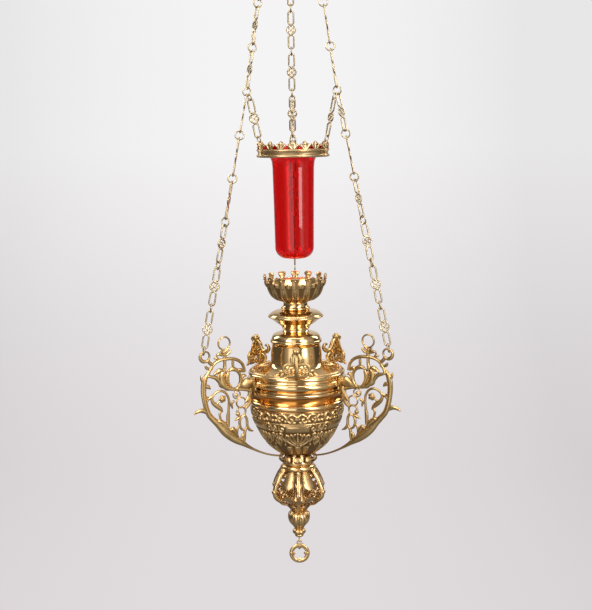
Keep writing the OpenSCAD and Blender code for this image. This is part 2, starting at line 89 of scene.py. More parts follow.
# curves and surfaces as arrays

def smoothPath(points, steps=6):
    # Catmull-Rom curve through the rows of points: between p1 and p2 it is
    # (2p1 + (p2-p0)t + (2p0-5p1+4p2-p3)t^2 + (3p1-p0-3p2+p3)t^3) / 2
    p = np.asarray(points, float)
    ends = np.vstack([p[:1], p, p[-1:]])
    a, b, c, d = ends[:-3], ends[1:-2], ends[2:-1], ends[3:]
    t = (np.arange(steps) / steps)[None, :, None]
    a, b, c, d = (q[:, None, :] for q in (a, b, c, d))
    square, cube = 2 * a - 5 * b + 4 * c - d, 3 * b - a - 3 * c + d
    curve = 0.5 * (2 * b + (c - a) * t + square * t**2 + cube * t**3)
    return np.vstack([curve.reshape(-1, p.shape[1]), p[-1:]])


def fullTurn(steps):
    # angles spread evenly round a circle; the one that closes it is left out
    return np.linspace(0, tau, steps, endpoint=False)


def unit(rows):
    # each row divided by its own length
    return rows / np.maximum(np.linalg.norm(rows, axis=1, keepdims=True), 1e-9)


def arcLine(x, z, radius, start, end, steps=8):
    # circle arc: centre plus radius times (cos a, sin a)
    a = np.radians(np.linspace(start, end, steps + 1))
    return np.stack([x + radius * np.cos(a), z + radius * np.sin(a)], 1)


def patch(points, closeRows=False, capStart=False, capEnd=False, relief=None):
    # quads between the neighbouring rows of a grid of points whose columns run all the way round
    rows, cols = points.shape[:2]
    index = np.arange(rows * cols).reshape(rows, cols)
    here = index if closeRows else index[:-1]
    below = np.roll(index, -1, 0) if closeRows else index[1:]
    quads = np.stack([here, np.roll(here, -1, 1), np.roll(below, -1, 1), below], -1).reshape(-1, 4)
    caps = []
    if capStart:
        caps.append(index[0][::-1].copy())
    if capEnd:
        caps.append(index[-1].copy())
    depth = np.ones(rows * cols) if relief is None else np.asarray(relief, float).reshape(-1)
    return {"points": points.reshape(-1, 3), "quads": quads, "caps": caps, "relief": depth}


def moved(part, turn=None, offset=(0, 0, 0)):
    # the same patch turned by a 3 by 3 matrix and then shifted
    points = part["points"] if turn is None else part["points"] @ np.asarray(turn).T
    return {**part, "points": points + np.asarray(offset, float)}


def rotZ(degrees):
    # 3 by 3 matrix that turns about Z; the next two turn about Y and X
    c, s = math.cos(math.radians(degrees)), math.sin(math.radians(degrees))
    return np.array([[c, -s, 0], [s, c, 0], [0, 0, 1.0]])


def rotY(degrees):
    c, s = math.cos(math.radians(degrees)), math.sin(math.radians(degrees))
    return np.array([[c, 0, s], [0, 1, 0], [-s, 0, c]])


def rotX(degrees):
    c, s = math.cos(math.radians(degrees)), math.sin(math.radians(degrees))
    return np.array([[1.0, 0, 0], [0, c, -s], [0, s, c]])


def evenly(count, first=0.0):
    # directions in degrees spread over a full turn
    return [i * 360 / count + first for i in range(count)]


def around(parts, directions):
    # copies of the patches turned to each direction about the lamp's axis
    return [moved(part, rotZ(direction)) for direction in directions for part in parts]


def revolved(r, z, angles):
    # grid of points where radius and height go round the axis: (r cos a, r sin a, z)
    return np.stack([r * np.cos(angles), r * np.sin(angles), z * np.ones_like(angles)], -1)


def lathe(outline, steps=128):
    # surface of revolution of a closed (r, z) outline
    line = np.asarray(outline, float)
    return patch(revolved(line[:, :1], line[:, 1:], fullTurn(steps)), closeRows=True)


def band(controls, thick=5.0, steps=6, sides=10, closed=False, lobes=0, lobeDepth=0.3):
    # a flat-lying member in the XZ plane: an ellipse carried along the curve through (x, z, width)
    # points, half the width times cos v across and half the thickness times sin v through; its edge
    # swells lobes times and it thins where it narrows
    path = np.asarray(controls, float) if closed else smoothPath(controls, steps)
    line, width = path[:, :2], path[:, 2]
    ahead = unit(np.roll(line, -1, 0) - np.roll(line, 1, 0) if closed else np.gradient(line, axis=0))
    side = np.stack([-ahead[:, 1], ahead[:, 0]], 1)
    half = width / 2
    if lobes:
        phase = (np.linspace(0, 1, len(line)) * lobes) % 1.0
        half = half * (1 - lobeDepth * np.abs(2 * phase**1.4 - 1) ** 1.5)
    v = fullTurn(sides)
    deep = thick / 2 * np.clip(width / max(width.max(), 1e-6) * 1.6, 0.35, 1)
    x = line[:, 0:1] + side[:, 0:1] * half[:, None] * np.cos(v)
    z = line[:, 1:2] + side[:, 1:2] * half[:, None] * np.cos(v)
    points = np.stack([x, deep[:, None] * np.sin(v), z], -1)
    # relief is lowest along the member's edges, where the brass paints shade
    relief = 0.35 + 0.65 * np.abs(np.sin(v)) * np.ones((len(line), 1))
    return patch(points, closeRows=closed, capStart=not closed, capEnd=not closed, relief=relief)


def ringBand(x, z, radius, width, thick=5.0, steps=32, sides=10):
    # a band along a full circle
    a = fullTurn(steps)
    path = np.stack([x + radius * np.cos(a), z + radius * np.sin(a), np.full(steps, width)], 1)
    return band(path, thick, sides=sides, closed=True)


def dome(x, z, radius, height, rings=6, steps=16, petals=0):
    # a two-sided button in the XZ plane: y is height times cos t and the reach is radius times sin t,
    # drawn in between the petals
    t = np.linspace(0, math.pi, 2 * rings + 1)[1:-1, None]
    a = fullTurn(steps)
    reach = radius * np.sin(t) * (0.75 + 0.25 * np.abs(np.cos(a * petals / 2)))
    y = height * np.cos(t) * np.ones_like(a)
    return patch(np.stack([x + reach * np.cos(a), y, z + reach * np.sin(a)], -1), capStart=True, capEnd=True)


def ball(centre, radius, steps=20):
    # sphere: (sin t cos a, sin t sin a, cos t) times the radius
    t = np.linspace(0, math.pi, steps // 2 + 1)[1:-1, None]
    points = revolved(np.sin(t), np.cos(t), fullTurn(steps))
    return patch(points * radius + np.asarray(centre, float), capStart=True, capEnd=True)


def leaf(spine, widths, direction=0.0, thick=2.0, vein=0.8, lobes=0, lobeDepth=0.35, across=14, cup=0.0):
    # a leaf that hugs the lamp's axis: a lens across a spine of (r, z) points, with a raised vein
    # at u = 0, an edge that swells lobes times, and sides that stand off by cup times u squared
    path = smoothPath(np.column_stack([spine, widths]), 5)
    line, width = path[:, :2], path[:, 2]
    s = np.linspace(0, 1, len(line))
    if lobes:
        width = width * (1 - lobeDepth * np.abs(2 * ((s * lobes) % 1.0) - 1) ** 2)
    ahead = unit(np.gradient(line, axis=0))
    out = np.stack([ahead[:, 1], -ahead[:, 0]], 1)
    v = fullTurn(across)
    u, face = np.cos(v), np.sin(v)
    ridge = vein * np.exp(-(u / 0.22) ** 2) + vein * 0.5 * np.cos(3 * math.pi * u) * (1 - u**2)
    lift = cup * u**2 + face * thick / 2 + np.where(face > 0, ridge, 0)
    fade = np.clip(width / max(width.max(), 1e-6) * 2, 0.15, 1)
    r = line[:, 0:1] + out[:, 0:1] * lift * fade[:, None]
    z = line[:, 1:2] + out[:, 1:2] * lift * fade[:, None]
    angle = math.radians(direction) + u * (width / 2)[:, None] / np.maximum(line[:, 0:1], 4)
    # relief is highest on the vein and falls toward the edges, where the brass paints shade
    relief = np.clip(0.55 + 0.5 * ridge / max(vein, 1e-6) - 0.25 * u**2, 0, 1) * np.ones((len(line), 1))
    points = np.stack([r * np.cos(angle), r * np.sin(angle), z], -1)
    return patch(points, capStart=True, capEnd=True, relief=relief)


def spiral(x, z, start, end, outer, inner, startAngle, sweep, thick=5.0, count=14):
    # a volute: the radius and the width shrink evenly while the angle sweeps round
    t = np.linspace(0, 1, count)
    a = np.radians(startAngle + sweep * t)
    radius = outer + (inner - outer) * t
    width = start + (end - start) * t
    path = np.stack([x + radius * np.cos(a), z + radius * np.sin(a), width], 1)
    tip = dome(x + inner * math.cos(a[-1]), z + inner * math.sin(a[-1]),
               end * 0.75, thick / 2, rings=3, steps=12)
    return [band(path, thick, steps=3), tip]


def makePiece(name, parts, material, body, replaced=(), sharpAngle=42):
    # one mesh from many patches, scaled to metres, with the relief kept as a point attribute; the brass
    # materials paint shade where it is low
    counts = np.cumsum([0] + [len(p["points"]) for p in parts])
    points = np.vstack([p["points"] for p in parts]) * mm
    relief = np.concatenate([p["relief"] for p in parts])
    quads = np.vstack([p["quads"] + base for p, base in zip(parts, counts)])
    caps = [cap + base for p, base in zip(parts, counts) for cap in p["caps"]]
    loops = np.concatenate([quads.reshape(-1)] + caps) if caps else quads.reshape(-1)
    sizes = np.array([4] * len(quads) + [len(c) for c in caps])
    mesh = bpy.data.meshes.new(name)
    mesh.vertices.add(len(points))
    mesh.vertices.foreach_set("co", points.reshape(-1))
    mesh.loops.add(len(loops))
    mesh.loops.foreach_set("vertex_index", loops.astype(np.int32))
    mesh.polygons.add(len(sizes))
    mesh.polygons.foreach_set("loop_start", (np.cumsum(sizes) - sizes).astype(np.int32))
    mesh.polygons.foreach_set("loop_total", sizes.astype(np.int32))
    mesh.update(calc_edges=True)
    mesh.attributes.new("relief", "FLOAT", "POINT").data.foreach_set("value", relief.astype(np.float32))
    work = bmesh.new()
    work.from_mesh(mesh)
    bmesh.ops.recalc_face_normals(work, faces=work.faces)
    work.to_mesh(mesh)
    work.free()
    mesh.polygons.foreach_set("use_smooth", np.ones(len(sizes), bool))
    mesh.set_sharp_from_angle(angle=math.radians(sharpAngle))
    piece = bpy.data.objects.new(name, mesh)
    bpy.context.collection.objects.link(piece)
    mesh.materials.append(material)
    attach(piece, body)
    if replaced:
        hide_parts(*replaced)
    return piece


# materials

def feed(tree, node, inputs):
    # fills a node's inputs, each with a plain value or from the output of another node
    for name, value in inputs.items():
        if isinstance(value, bpy.types.NodeSocket):
            tree.links.new(value, node.inputs[name])
        else:
            node.inputs[name].default_value = value
    return node


def makeNode(tree, kind, inputs, **settings):
    node = tree.nodes.new(kind)
    for name, value in settings.items():
        setattr(node, name, value)
    return feed(tree, node, inputs)


def maths(tree, operation, *values):
    return makeNode(tree, "ShaderNodeMath", dict(enumerate(values)), operation=operation).outputs[0]


def mapRange(tree, value, fromMin=0.0, fromMax=1.0, toMin=0.0, toMax=1.0):
    return makeNode(tree, "ShaderNodeMapRange", {
        "Value": value, "From Min": fromMin, "From Max": fromMax, "To Min": toMin, "To Max": toMax,
    }).outputs["Result"]


def mixColour(tree, factor, first, second):
    inputs = {"Factor": factor, "A": first, "B": second}
    return makeNode(tree, "ShaderNodeMix", inputs, data_type="RGBA").outputs["Result"]


def noise(tree, scale, detail=2.0):
    # noise in the piece's own coordinates
    place = makeNode(tree, "ShaderNodeTexCoord", {}).outputs["Object"]
    inputs = {"Vector": place, "Scale": scale, "Detail": detail}
    return makeNode(tree, "ShaderNodeTexNoise", inputs).outputs["Fac"]


def bumped(tree, height, strength, distance):
    inputs = {"Height": height, "Strength": strength, "Distance": distance}
    return makeNode(tree, "ShaderNodeBump", inputs).outputs["Normal"]


def newMaterial(name):
    material = bpy.data.materials.new(name)
    material.use_nodes = True
    return material


ageingAndShade = {
    "cloudFrom": 0.42, "cloudTo": 0.72,    # noise levels where the cloudy tarnish starts and is full
    "hollowShade": 0.85,    # painted shade in the deepest relief
    "tarnishShadeRough": 0.28,     # roughness that the full tarnish and painted shade mask adds
    "wipeRough": 0.06,     # and that the wiping marks add
    "wipeSize": 900,
    "bump": 0.25, "bumpDepth": 0.0006,
}


def agedShadedBrassGroup():
    # metal colour, roughness and surface height from relief depth, cloudy tarnish and fine wiping marks; low
    # relief is painted darker as shade in the hollows
    tree = bpy.data.node_groups.new("agedShadedBrass", "ShaderNodeTree")
    entries = {
        "Relief": 1.0, "Bright": (0.9, 0.7, 0.4, 1), "TarnishShade": (0.5, 0.35, 0.15, 1),
        "Cloud Size": 18.0, "Tarnish": 0.3, "Polish": 0.15, "Grain": 0.3,
    }
    for name, value in entries.items():
        kind = "NodeSocketColor" if isinstance(value, tuple) else "NodeSocketFloat"
        tree.interface.new_socket(name=name, in_out="INPUT", socket_type=kind).default_value = value
    for name, kind in (("Color", "Color"), ("Roughness", "Float"), ("Height", "Float")):
        tree.interface.new_socket(name=name, in_out="OUTPUT", socket_type="NodeSocket" + kind)
    given = tree.nodes.new("NodeGroupInput").outputs
    cloudy = mapRange(tree, noise(tree, given["Cloud Size"], 4), ageingAndShade["cloudFrom"], ageingAndShade["cloudTo"])
    fine = noise(tree, ageingAndShade["wipeSize"])
    # painted shade: the lower the relief, the darker the metal is painted
    hollow = maths(tree, "MULTIPLY", mapRange(tree, given["Relief"], 0.1, 0.8, 1, 0), ageingAndShade["hollowShade"])
    # mask of real cloudy tarnish and painted shade in the hollows, whichever is greater
    tarnishAndShade = maths(tree, "MAXIMUM", maths(tree, "MULTIPLY", cloudy, given["Tarnish"]), hollow)
    rough = maths(tree, "MULTIPLY_ADD", tarnishAndShade, ageingAndShade["tarnishShadeRough"], given["Polish"])
    makeNode(tree, "NodeGroupOutput", {
        "Color": mixColour(tree, tarnishAndShade, given["Bright"], given["TarnishShade"]),
        "Roughness": maths(tree, "MULTIPLY_ADD", fine, ageingAndShade["wipeRough"], rough),
        "Height": maths(tree, "MULTIPLY", fine, given["Grain"]),
    })
    return tree


agedShadedBrass = agedShadedBrassGroup()

brassFinishes = {
    # bright colour, tarnish and painted shade colour, cloud size, tarnish, polish, grain, reads relief
    # (paints shade in low relief)
    "turnedBrass": ((0.82, 0.57, 0.28), (0.48, 0.27, 0.10), 14, 0.30, 0.09, 0.10, False),
    "castBrass": ((0.82, 0.56, 0.27), (0.19, 0.10, 0.035), 30, 0.45, 0.20, 0.45, True),
    "armBrass": ((0.70, 0.48, 0.21), (0.12, 0.06, 0.018), 26, 0.60, 0.22, 0.45, True),
    "chainBrass": ((0.60, 0.50, 0.33), (0.22, 0.15, 0.07), 40, 0.50, 0.20, 0.35, True),
    "crownBrass": ((0.68, 0.50, 0.28), (0.16, 0.10, 0.045), 34, 0.50, 0.24, 0.40, True),
    # brass for the cove with a painted warm orange reflection, the glow of brass bounced inside the concave
    # moulding
    "coveBouncedLightBrass": ((0.74, 0.31, 0.07), (0.42, 0.15, 0.025), 14, 0.30, 0.12, 0.10, False),
    "fixingBrass": ((0.76, 0.58, 0.34), (0.36, 0.24, 0.11), 60, 0.30, 0.22, 0.30, False),
    "rodIron": ((0.45, 0.43, 0.40), (0.20, 0.17, 0.14), 40, 0.50, 0.35, 0.50, False),
}


def brassMaterial(name, finish):
    bright, tarnishShadeColour, cloudSize, tarnish, polish, grain, readsRelief = finish
    material = newMaterial(name)
    tree = material.node_tree
    group = makeNode(tree, "ShaderNodeGroup", {
        "Bright": (*bright, 1), "TarnishShade": (*tarnishShadeColour, 1), "Cloud Size": cloudSize, "Tarnish": tarnish,
        "Polish": polish, "Grain": grain,
    }, node_tree=agedShadedBrass)
    # with the relief read, low relief is painted darker as shade
    if readsRelief:
        depth = makeNode(tree, "ShaderNodeAttribute", {}, attribute_name="relief")
        feed(tree, group, {"Relief": depth.outputs["Fac"]})
    feed(tree, tree.nodes["Principled BSDF"], {
        "Metallic": 1.0, "Base Color": group.outputs["Color"], "Roughness": group.outputs["Roughness"],
        "Normal": bumped(tree, group.outputs["Height"], ageingAndShade["bump"], ageingAndShade["bumpDepth"]),
    })
    return material


brass = {name: brassMaterial(name, finish) for name, finish in brassFinishes.items()}


def turnedPiece(name, outline, steps, node, finish="turnedBrass"):
    # a plain turned part of the lamp's body
    makePiece(name, [lathe(outline, steps)], brass[finish], "lamp", [node])


def castPiece(name, parts, node, sharpAngle=60, finish="castBrass"):
    # a cast part of the lamp's body
    makePiece(name, parts, brass[finish], "lamp", [node], sharpAngle)


rubyFinish = {
    "clear": (0.985, 0.002, 0.03, 1), "deep": (0.95, 0.001, 0.02, 1),
    "rippleSize": 22, "ripple": 0.03, "rippleDepth": 0.002, "roughest": 0.04,
}


def rubyGlassMaterial():
    # clear red glass: tint from the body colour, with faint blown ripples
    material = newMaterial("rubyGlass")
    tree = material.node_tree
    ripple = noise(tree, rubyFinish["rippleSize"])
    feed(tree, tree.nodes["Principled BSDF"], {
        "IOR": 1.5, "Transmission Weight": 1.0,
        "Base Color": mixColour(tree, ripple, rubyFinish["clear"], rubyFinish["deep"]),
        "Roughness": mapRange(tree, ripple, toMax=rubyFinish["roughest"]),
        "Normal": bumped(tree, ripple, rubyFinish["ripple"], rubyFinish["rippleDepth"]),
    })
    return material


rubyGlass = rubyGlassMaterial()
print("materials made")


# studio
studio = {
    "floorHeight": -2.6,     # metres
    "reach": 7.0,            # radius of the round sweep
    "wallHeight": 7.0,
    "paper": (0.80, 0.785, 0.78, 1),
    "lowGlow": (0.735, 0.695, 0.71, 1),      # what the camera sees near the floor
    "highGlow": (0.915, 0.905, 0.915, 1),    # and high on the wall
    "glowFoot": -2.75,       # heights between which one turns into the other
    "glowTop": -0.6,
    "glowMiddle": -0.2,      # x of the brightest upright line
    "fadeReach": 4.0,        # square metres aside where the glow is down to the next value
    "sideGlow": 0.88,
    "bend": 2.5,             # radius where the floor turns into the wall
}


def splitPlace(tree, output):
    # x, y and z of a texture coordinate
    place = makeNode(tree, "ShaderNodeTexCoord", {}).outputs[output]
    return makeNode(tree, "ShaderNodeSeparateXYZ", {0: place}).outputs


def paperMaterial():
    # pale paper: the camera sees an even glow that is brightest high in the middle, all else sees
    # plain paper
    paper = newMaterial("studioPaper")
    tree = paper.node_tree
    plain = feed(tree, tree.nodes["Principled BSDF"], {"Base Color": studio["paper"], "Roughness": 0.9})
    place = splitPlace(tree, "Object")
    height = mapRange(tree, place["Z"], studio["glowFoot"], studio["glowTop"])
    aside = maths(tree, "SUBTRACT", place["X"], studio["glowMiddle"])
    square = maths(tree, "MULTIPLY", aside, aside)
    glow = makeNode(tree, "ShaderNodeEmission", {
        "Color": mixColour(tree, height, studio["lowGlow"], studio["highGlow"]),
        "Strength": mapRange(tree, square, 0, studio["fadeReach"], 1, studio["sideGlow"]),
    })
    path = makeNode(tree, "ShaderNodeLightPath", {})
    mix = makeNode(tree, "ShaderNodeMixShader", {
        "Fac": path.outputs["Is Camera Ray"], 1: plain.outputs["BSDF"], 2: glow.outputs["Emission"],
    })
    feed(tree, tree.nodes["Material Output"], {"Surface": mix.outputs["Shader"]})
    return paper


def addSweep():
    # floor disc that curves up into a round wall: r and z follow a quarter circle at the edge
    reach, bend = studio["reach"], studio["bend"]
    flat = np.stack([np.linspace(0.01, reach - bend, 12), np.zeros(12)], 1)
    curve = arcLine(reach - bend, bend, bend, -90, 0, 16)
    line = np.vstack([flat, curve[1:], [[reach, studio["wallHeight"]]]])
    part = patch(revolved(line[:, :1], line[:, 1:], fullTurn(96)), capStart=True)
    mesh = bpy.data.meshes.new("studioSweep")
    faces = part["quads"].tolist() + [cap.tolist() for cap in part["caps"]]
    mesh.from_pydata((part["points"] + [0, 0, studio["floorHeight"]]).tolist(), [], faces)
    mesh.polygons.foreach_set("use_smooth", np.ones(len(faces), bool))
    sweep = bpy.data.objects.new("studioSweep", mesh)
    bpy.context.collection.objects.link(sweep)
    mesh.materials.append(paperMaterial())
    sweep.visible_glossy = False


lights = [
    # name, place, aimed at, width, height, power, colour
    ("keyLeft", (-1.9, -2.4, 1.0), (0, 0, -0.8), 1.2, 1.8, 50, (1.0, 0.97, 0.93)),
    ("keyRight", (1.5, -2.6, 0.9), (0, 0, -0.8), 0.8, 1.6, 36, (1.0, 0.98, 0.96)),
    ("stripRight", (1.60, -2.05, -0.20), (0, 0, -0.3), 0.85, 1.6, 20, (1.0, 0.99, 0.98)),
    ("topSoft", (0.0, 0.2, 2.2), (0, 0, -0.6), 3.0, 3.0, 80, (1.0, 0.99, 0.98)),
    ("backLeft", (-2.6, 1.8, 0.6), (0, 0, -0.8), 0.8, 2.0, 30, (1.0, 0.98, 0.95)),
    ("backRight", (2.6, 1.6, 0.6), (0, 0, -0.8), 0.8, 2.0, 30, (1.0, 0.98, 0.95)),
]


def addLights():
    for name, place, aim, width, height, power, colour in lights:
        data = bpy.data.lights.new(name, "AREA")
        data.shape = "RECTANGLE"
        data.size, data.size_y = width, height
        data.energy = power
        data.color = colour
        lamp = bpy.data.objects.new(name, data)
        lamp.location = place
        lamp.rotation_euler = (Vector(aim) - Vector(place)).to_track_quat("-Z", "Y").to_euler()
        bpy.context.collection.objects.link(lamp)


# the room that the metal mirrors, by direction round the lamp: degrees from the camera, level, colour
roomBands = [
    (-180, 0.75, "pale"), (-158, 0.60, "pale"), (-146, 0.10, "dark"), (-62, 0.11, "dark"),
    (-50, 0.34, "warm"), (-38, 0.50, "warm"), (-32, 1.45, "pale"), (-5, 1.45, "pale"),
    (0, 0.20, "dark"), (24, 0.18, "dark"), (34, 0.4, "warm"), (38, 1.25, "pale"), (52, 1.25, "pale"),
    (58, 0.5, "warm"), (84, 0.42, "warm"), (96, 0.08, "dark"), (140, 0.10, "dark"),
    (156, 0.6, "pale"), (180, 0.75, "pale"),
]
roomTones = {"pale": (1.0, 0.985, 0.96), "warm": (1.0, 0.93, 0.84), "dark": (1.0, 0.86, 0.68)}
# its soft light by height, -1 straight down and 1 straight up, and how far that covers the bands
roomHeights = [(-1.0, 0.55), (-0.55, 0.75), (-0.30, 0.95), (0.10, 1.0), (0.45, 0.85), (0.7, 0.75),
               (1.0, 0.9)]
roomSoft = (0.30, 0.295, 0.28)
roomCover = [(0.0, 1), (0.20, 0.9), (0.36, 0.1), (0.44, 0), (0.66, 0), (0.80, 0.5), (0.92, 1)]


def ramp(tree, value, stops):
    # colour ramp with a stop for each position and colour
    node = makeNode(tree, "ShaderNodeValToRGB", {"Fac": value})
    elements = node.color_ramp.elements
    while len(elements) < len(stops):
        elements.new(0.5)
    for element, (position, colour) in zip(elements, stops):
        element.position = position
        element.color = (*colour, 1)
    return node.outputs["Color"]


def addWorld():
    # bands by compass angle near the level, melting into an even soft light overhead and underfoot
    world = bpy.data.worlds.new("studioRoom")
    bpy.context.scene.world = world
    world.use_nodes = True
    tree = world.node_tree
    place = splitPlace(tree, "Generated")
    angle = maths(tree, "ARCTAN2", place["X"], maths(tree, "MULTIPLY", place["Y"], -1))
    top = max(level for _, level, _ in roomBands)
    bands = ramp(tree, mapRange(tree, angle, -math.pi, math.pi), [
        ((a + 180) / 360, [level / top * c for c in roomTones[tone]]) for a, level, tone in roomBands])
    height = mapRange(tree, place["Z"], -1)
    soft = ramp(tree, height, [((z + 1) / 2, [c * v for c in roomSoft]) for z, v in roomHeights])
    cover = ramp(tree, height, [(position, [v] * 3) for position, v in roomCover])
    colour = mixColour(tree, cover, bands, soft)
    feed(tree, tree.nodes["Background"], {"Color": colour, "Strength": top})


addSweep()
addLights()
addWorld()
print("studio set")


# chains
chain = {
    "pitch": 86, "upperTilt": 9.49, "lowerTilt": 12.165, "upperLinks": 3,
    "hookRadius": 59.5, "hookHeight": -119.2,
    "ringInner": 7.0, "ringWire": 2.9,
    "linkWire": 3.4, "linkWidth": 14.4, "linkLength": 79.0, "roundel": 20.4,
    "smallInner": 5.4, "smallWire": 2.2, "smallDrop": 12.5, "smallDir": 27.6, "smallLean": 18.5,
    "shortLength": 80, "shortPitch": 83.92,
    "turns": {
        "left": [120, 120, 120, 95, 90, 80, 45, 10, 0],
        "right": [90, 90, 80, 50, 90, 50, 15, 0, 0],
        "back": [0, 0, 0, 0, 0, 0, 90, 90, 90],
    },
    "shortTurns": {"left": 0, "right": 120, "back": 75},
}


def wireRing(inner, wire, steps=36):
    # torus in the XZ plane
    return [ringBand(0, 0, inner + wire / 2, wire, wire, steps, 12)]


def stadium(width, length, wire):
    # closed path: two straight sides joined by half circles
    radius = (width - wire) / 2
    half = length / 2 - width / 2
    top = arcLine(0, half, radius, 0, 180, 14)
    foot = arcLine(0, -half, radius, 180, 360, 14)
    line = np.vstack([top, foot])
    return np.column_stack([line, np.full(len(line), wire)])


def castLink(length):
    # loop, pierced roundel and loop, cast in one
    wire, roundel, eyes = chain["linkWire"], chain["roundel"], 4.5
    loop = (length - roundel) / 2 + 1.5   # runs a little into the roundel
    parts = [ringBand(0, 0, roundel / 2 - 1.3, 2.6, 2.8), dome(0, 0, 2.4, 1.9, rings=3, steps=12)]
    for end in (-1, 1):
        path = stadium(chain["linkWidth"], loop, wire)
        path[:, 1] += end * (length - loop) / 2
        parts.append(band(path, wire, closed=True))
        parts.append(dome(0, end * (length / 2 - loop + 0.6), 3.0, 1.9, rings=3, steps=12))
    for x, z in ((eyes, 0), (0, eyes), (-eyes, 0), (0, -eyes)):
        parts.append(ringBand(x, z, 3.4, 2.4, 2.4, 16, 8))
    return parts


def chainPlace(direction, count):
    # matrix and offset of the point that lies count pitches down a chain
    above, below = min(count, chain["upperLinks"]), max(count - chain["upperLinks"], 0)
    upper, lower = math.radians(chain["upperTilt"]), math.radians(chain["lowerTilt"])
    r = chain["hookRadius"] + chain["pitch"] * (above * math.sin(upper) + below * math.sin(lower))
    z = chain["hookHeight"] - chain["pitch"] * (above * math.cos(upper) + below * math.cos(lower))
    tilt = chain["upperTilt"] if count < chain["upperLinks"] else chain["lowerTilt"]
    if count == chain["upperLinks"]:
        tilt = (chain["upperTilt"] + chain["lowerTilt"]) / 2
    turn = rotZ(direction) @ rotY(-tilt) @ rotZ(-direction)
    return turn, rotZ(direction) @ np.array([r, 0, z])


def ringTurn(direction, turns, index):
    # a ring stands square to its links, and the last one also to the arm's eye
    if index == chain["upperLinks"]:
        return direction
    eye = {210: 30, 330: -30, 90: 90}[direction]
    return 90 + (turns[max(index - 1, 0)] + (eye if index == len(turns) else turns[index])) / 2


def buildLongChains():
    link, ring = castLink(chain["linkLength"]), wireRing(chain["ringInner"], chain["ringWire"])
    for side, direction in armDirs.items():
        turns = chain["turns"][side]
        links, rings = [], []
        for i, angle in enumerate(turns):
            turn, offset = chainPlace(direction, i + 0.5)
            links += [moved(p, turn @ rotZ(angle), offset) for p in link]
        for i in range(len(turns) + 1):
            turn, offset = chainPlace(direction, i)
            rings += [moved(p, turn @ rotZ(ringTurn(direction, turns, i)), offset) for p in ring]
        for name, node, parts in (("ChainLinks", "_chain_links", links),
                                  ("ChainRings", "_chain_rings", rings)):
            makePiece(side + name, parts, brass["chainBrass"], "lamp", [side + node])


def buildShortChains():
    link, ring = castLink(chain["shortLength"]), wireRing(chain["smallInner"], chain["smallWire"], 28)
    for side, direction in armDirs.items():
        _, junction = chainPlace(0, chain["upperLinks"])
        away = math.radians(chain["smallDir"])
        r = junction[0] - chain["smallDrop"] * math.sin(away)
        z = junction[2] - chain["smallDrop"] * math.cos(away)
        lugRing = crown["radius"] + 4.5
        tilt = math.degrees(math.asin((r - lugRing) / chain["shortPitch"]))
        base = rotZ(direction) @ rotY(tilt)
        start = rotZ(direction) @ np.array([r, 0, z])
        down = base @ np.array([0, 0, -1.0])
        upper = rotZ(direction) @ rotY(chain["smallLean"]) @ rotZ(90)
        parts = [moved(p, upper, start) for p in ring]
        parts += [moved(p, base @ rotZ(90), start + down * chain["shortPitch"]) for p in ring]
        angle = chain["shortTurns"][side] - direction
        parts += [moved(p, base @ rotZ(angle), start + down * chain["shortPitch"] / 2) for p in link]
        makePiece(side + "ShortChain", parts, brass["chainBrass"], side + "_short",
                  [side + "_short_chain"])


# crown ring and glass
crown = {"radius": 73, "leaves": 18, "leafHeight": 15, "leafWidth": 20, "leafThick": 2.4}


def trefoilLeaf():
    # a small upright leaf: a stem lobe with a rounded head and two side lobes
    height, width, thick = crown["leafHeight"], crown["leafWidth"], crown["leafThick"]
    parts = [
        band([[0, -1, width * 0.5], [0, height * 0.35, width * 0.42], [0, height * 0.75, width * 0.46],
              [0, height, width * 0.12]], thick, steps=4),
    ]
    for side in (-1, 1):
        lobe = [(0.12, 0, width * 0.22), (0.30, 0.35, width * 0.26), (0.44, 0.52, width * 0.22),
                (0.46, 0.30, 0.8)]
        lobe = [[side * width * x, height * z, wide] for x, z, wide in lobe]
        parts.append(band(lobe, thick, steps=3, sides=8))
    parts.append(dome(0, height * 0.72, width * 0.16, thick * 0.9, rings=3, steps=10))
    return parts


def buildCrown():
    r, top, foot = crown["radius"], topOf("crown_ring"), footOf("crown_ring")
    outline = np.vstack([
        [[r - 3, top], [r - 1, top]], arcLine(r - 1.5, top - 3, 2.2, 80, -80, 6),
        [[r - 1.8, top - 6], [r - 2.0, foot + 6.4]], arcLine(r - 2, foot + 3, 3, 80, -90, 8),
        [[51, foot], [51, foot + 3], [r - 3, foot + 3]]])
    makePiece("crownBand", [lathe(outline, 144)], brass["crownBrass"],
              "crown", ["crown_ring"])
    trefoil = [moved(p, rotZ(90), (r - 1.6, 0, top - 1)) for p in trefoilLeaf()]
    parts = around(trefoil, evenly(crown["leaves"], 10))
    makePiece("crownCresting", parts, brass["crownBrass"], "crown", ["crown_cresting"])


glass = {"footRadius": 39.6, "footCurve": 22, "wall": 2.4}


def buildGlass():
    # a rounded foot, a tapering wall and a flared lip, drawn up the outside and down the inside
    foot, curve, wall = footOf("ruby_glass"), glass["footCurve"], glass["wall"]
    middle = glass["footRadius"] - curve
    outer = np.vstack([
        arcLine(middle, foot + curve, curve, -88, 0, 14), [[40.8, -600], [42.2, -524]],
        smoothPath([[43.4, -512], [46.6, -504.6], [52, -498], [60, -492], [65, -486], [66.4, -481]], 4)])
    inner = np.vstack([
        smoothPath([[64.4, -480.4], [62.6, -485.6], [58.6, -489.8], [50.4, -495.6], [44.4, -503],
                    [41.2, -511]], 4),
        [[39.9, -524], [38.5, -600]], arcLine(middle, foot + curve, curve - wall, 0, -88, 14)])
    line = np.vstack([outer, inner])
    skin = patch(revolved(line[:, :1], line[:, 1:], fullTurn(128)), capStart=True, capEnd=True)
    makePiece("rubyGlass", [skin], rubyGlass, "glass", ["ruby_glass"], sharpAngle=60)


buildLongChains()
buildShortChains()
buildCrown()
buildGlass()
print("chains, crown and glass built")


# cup, stem and turned body
boreRadius = 4.2   # of the hole for the tie rod


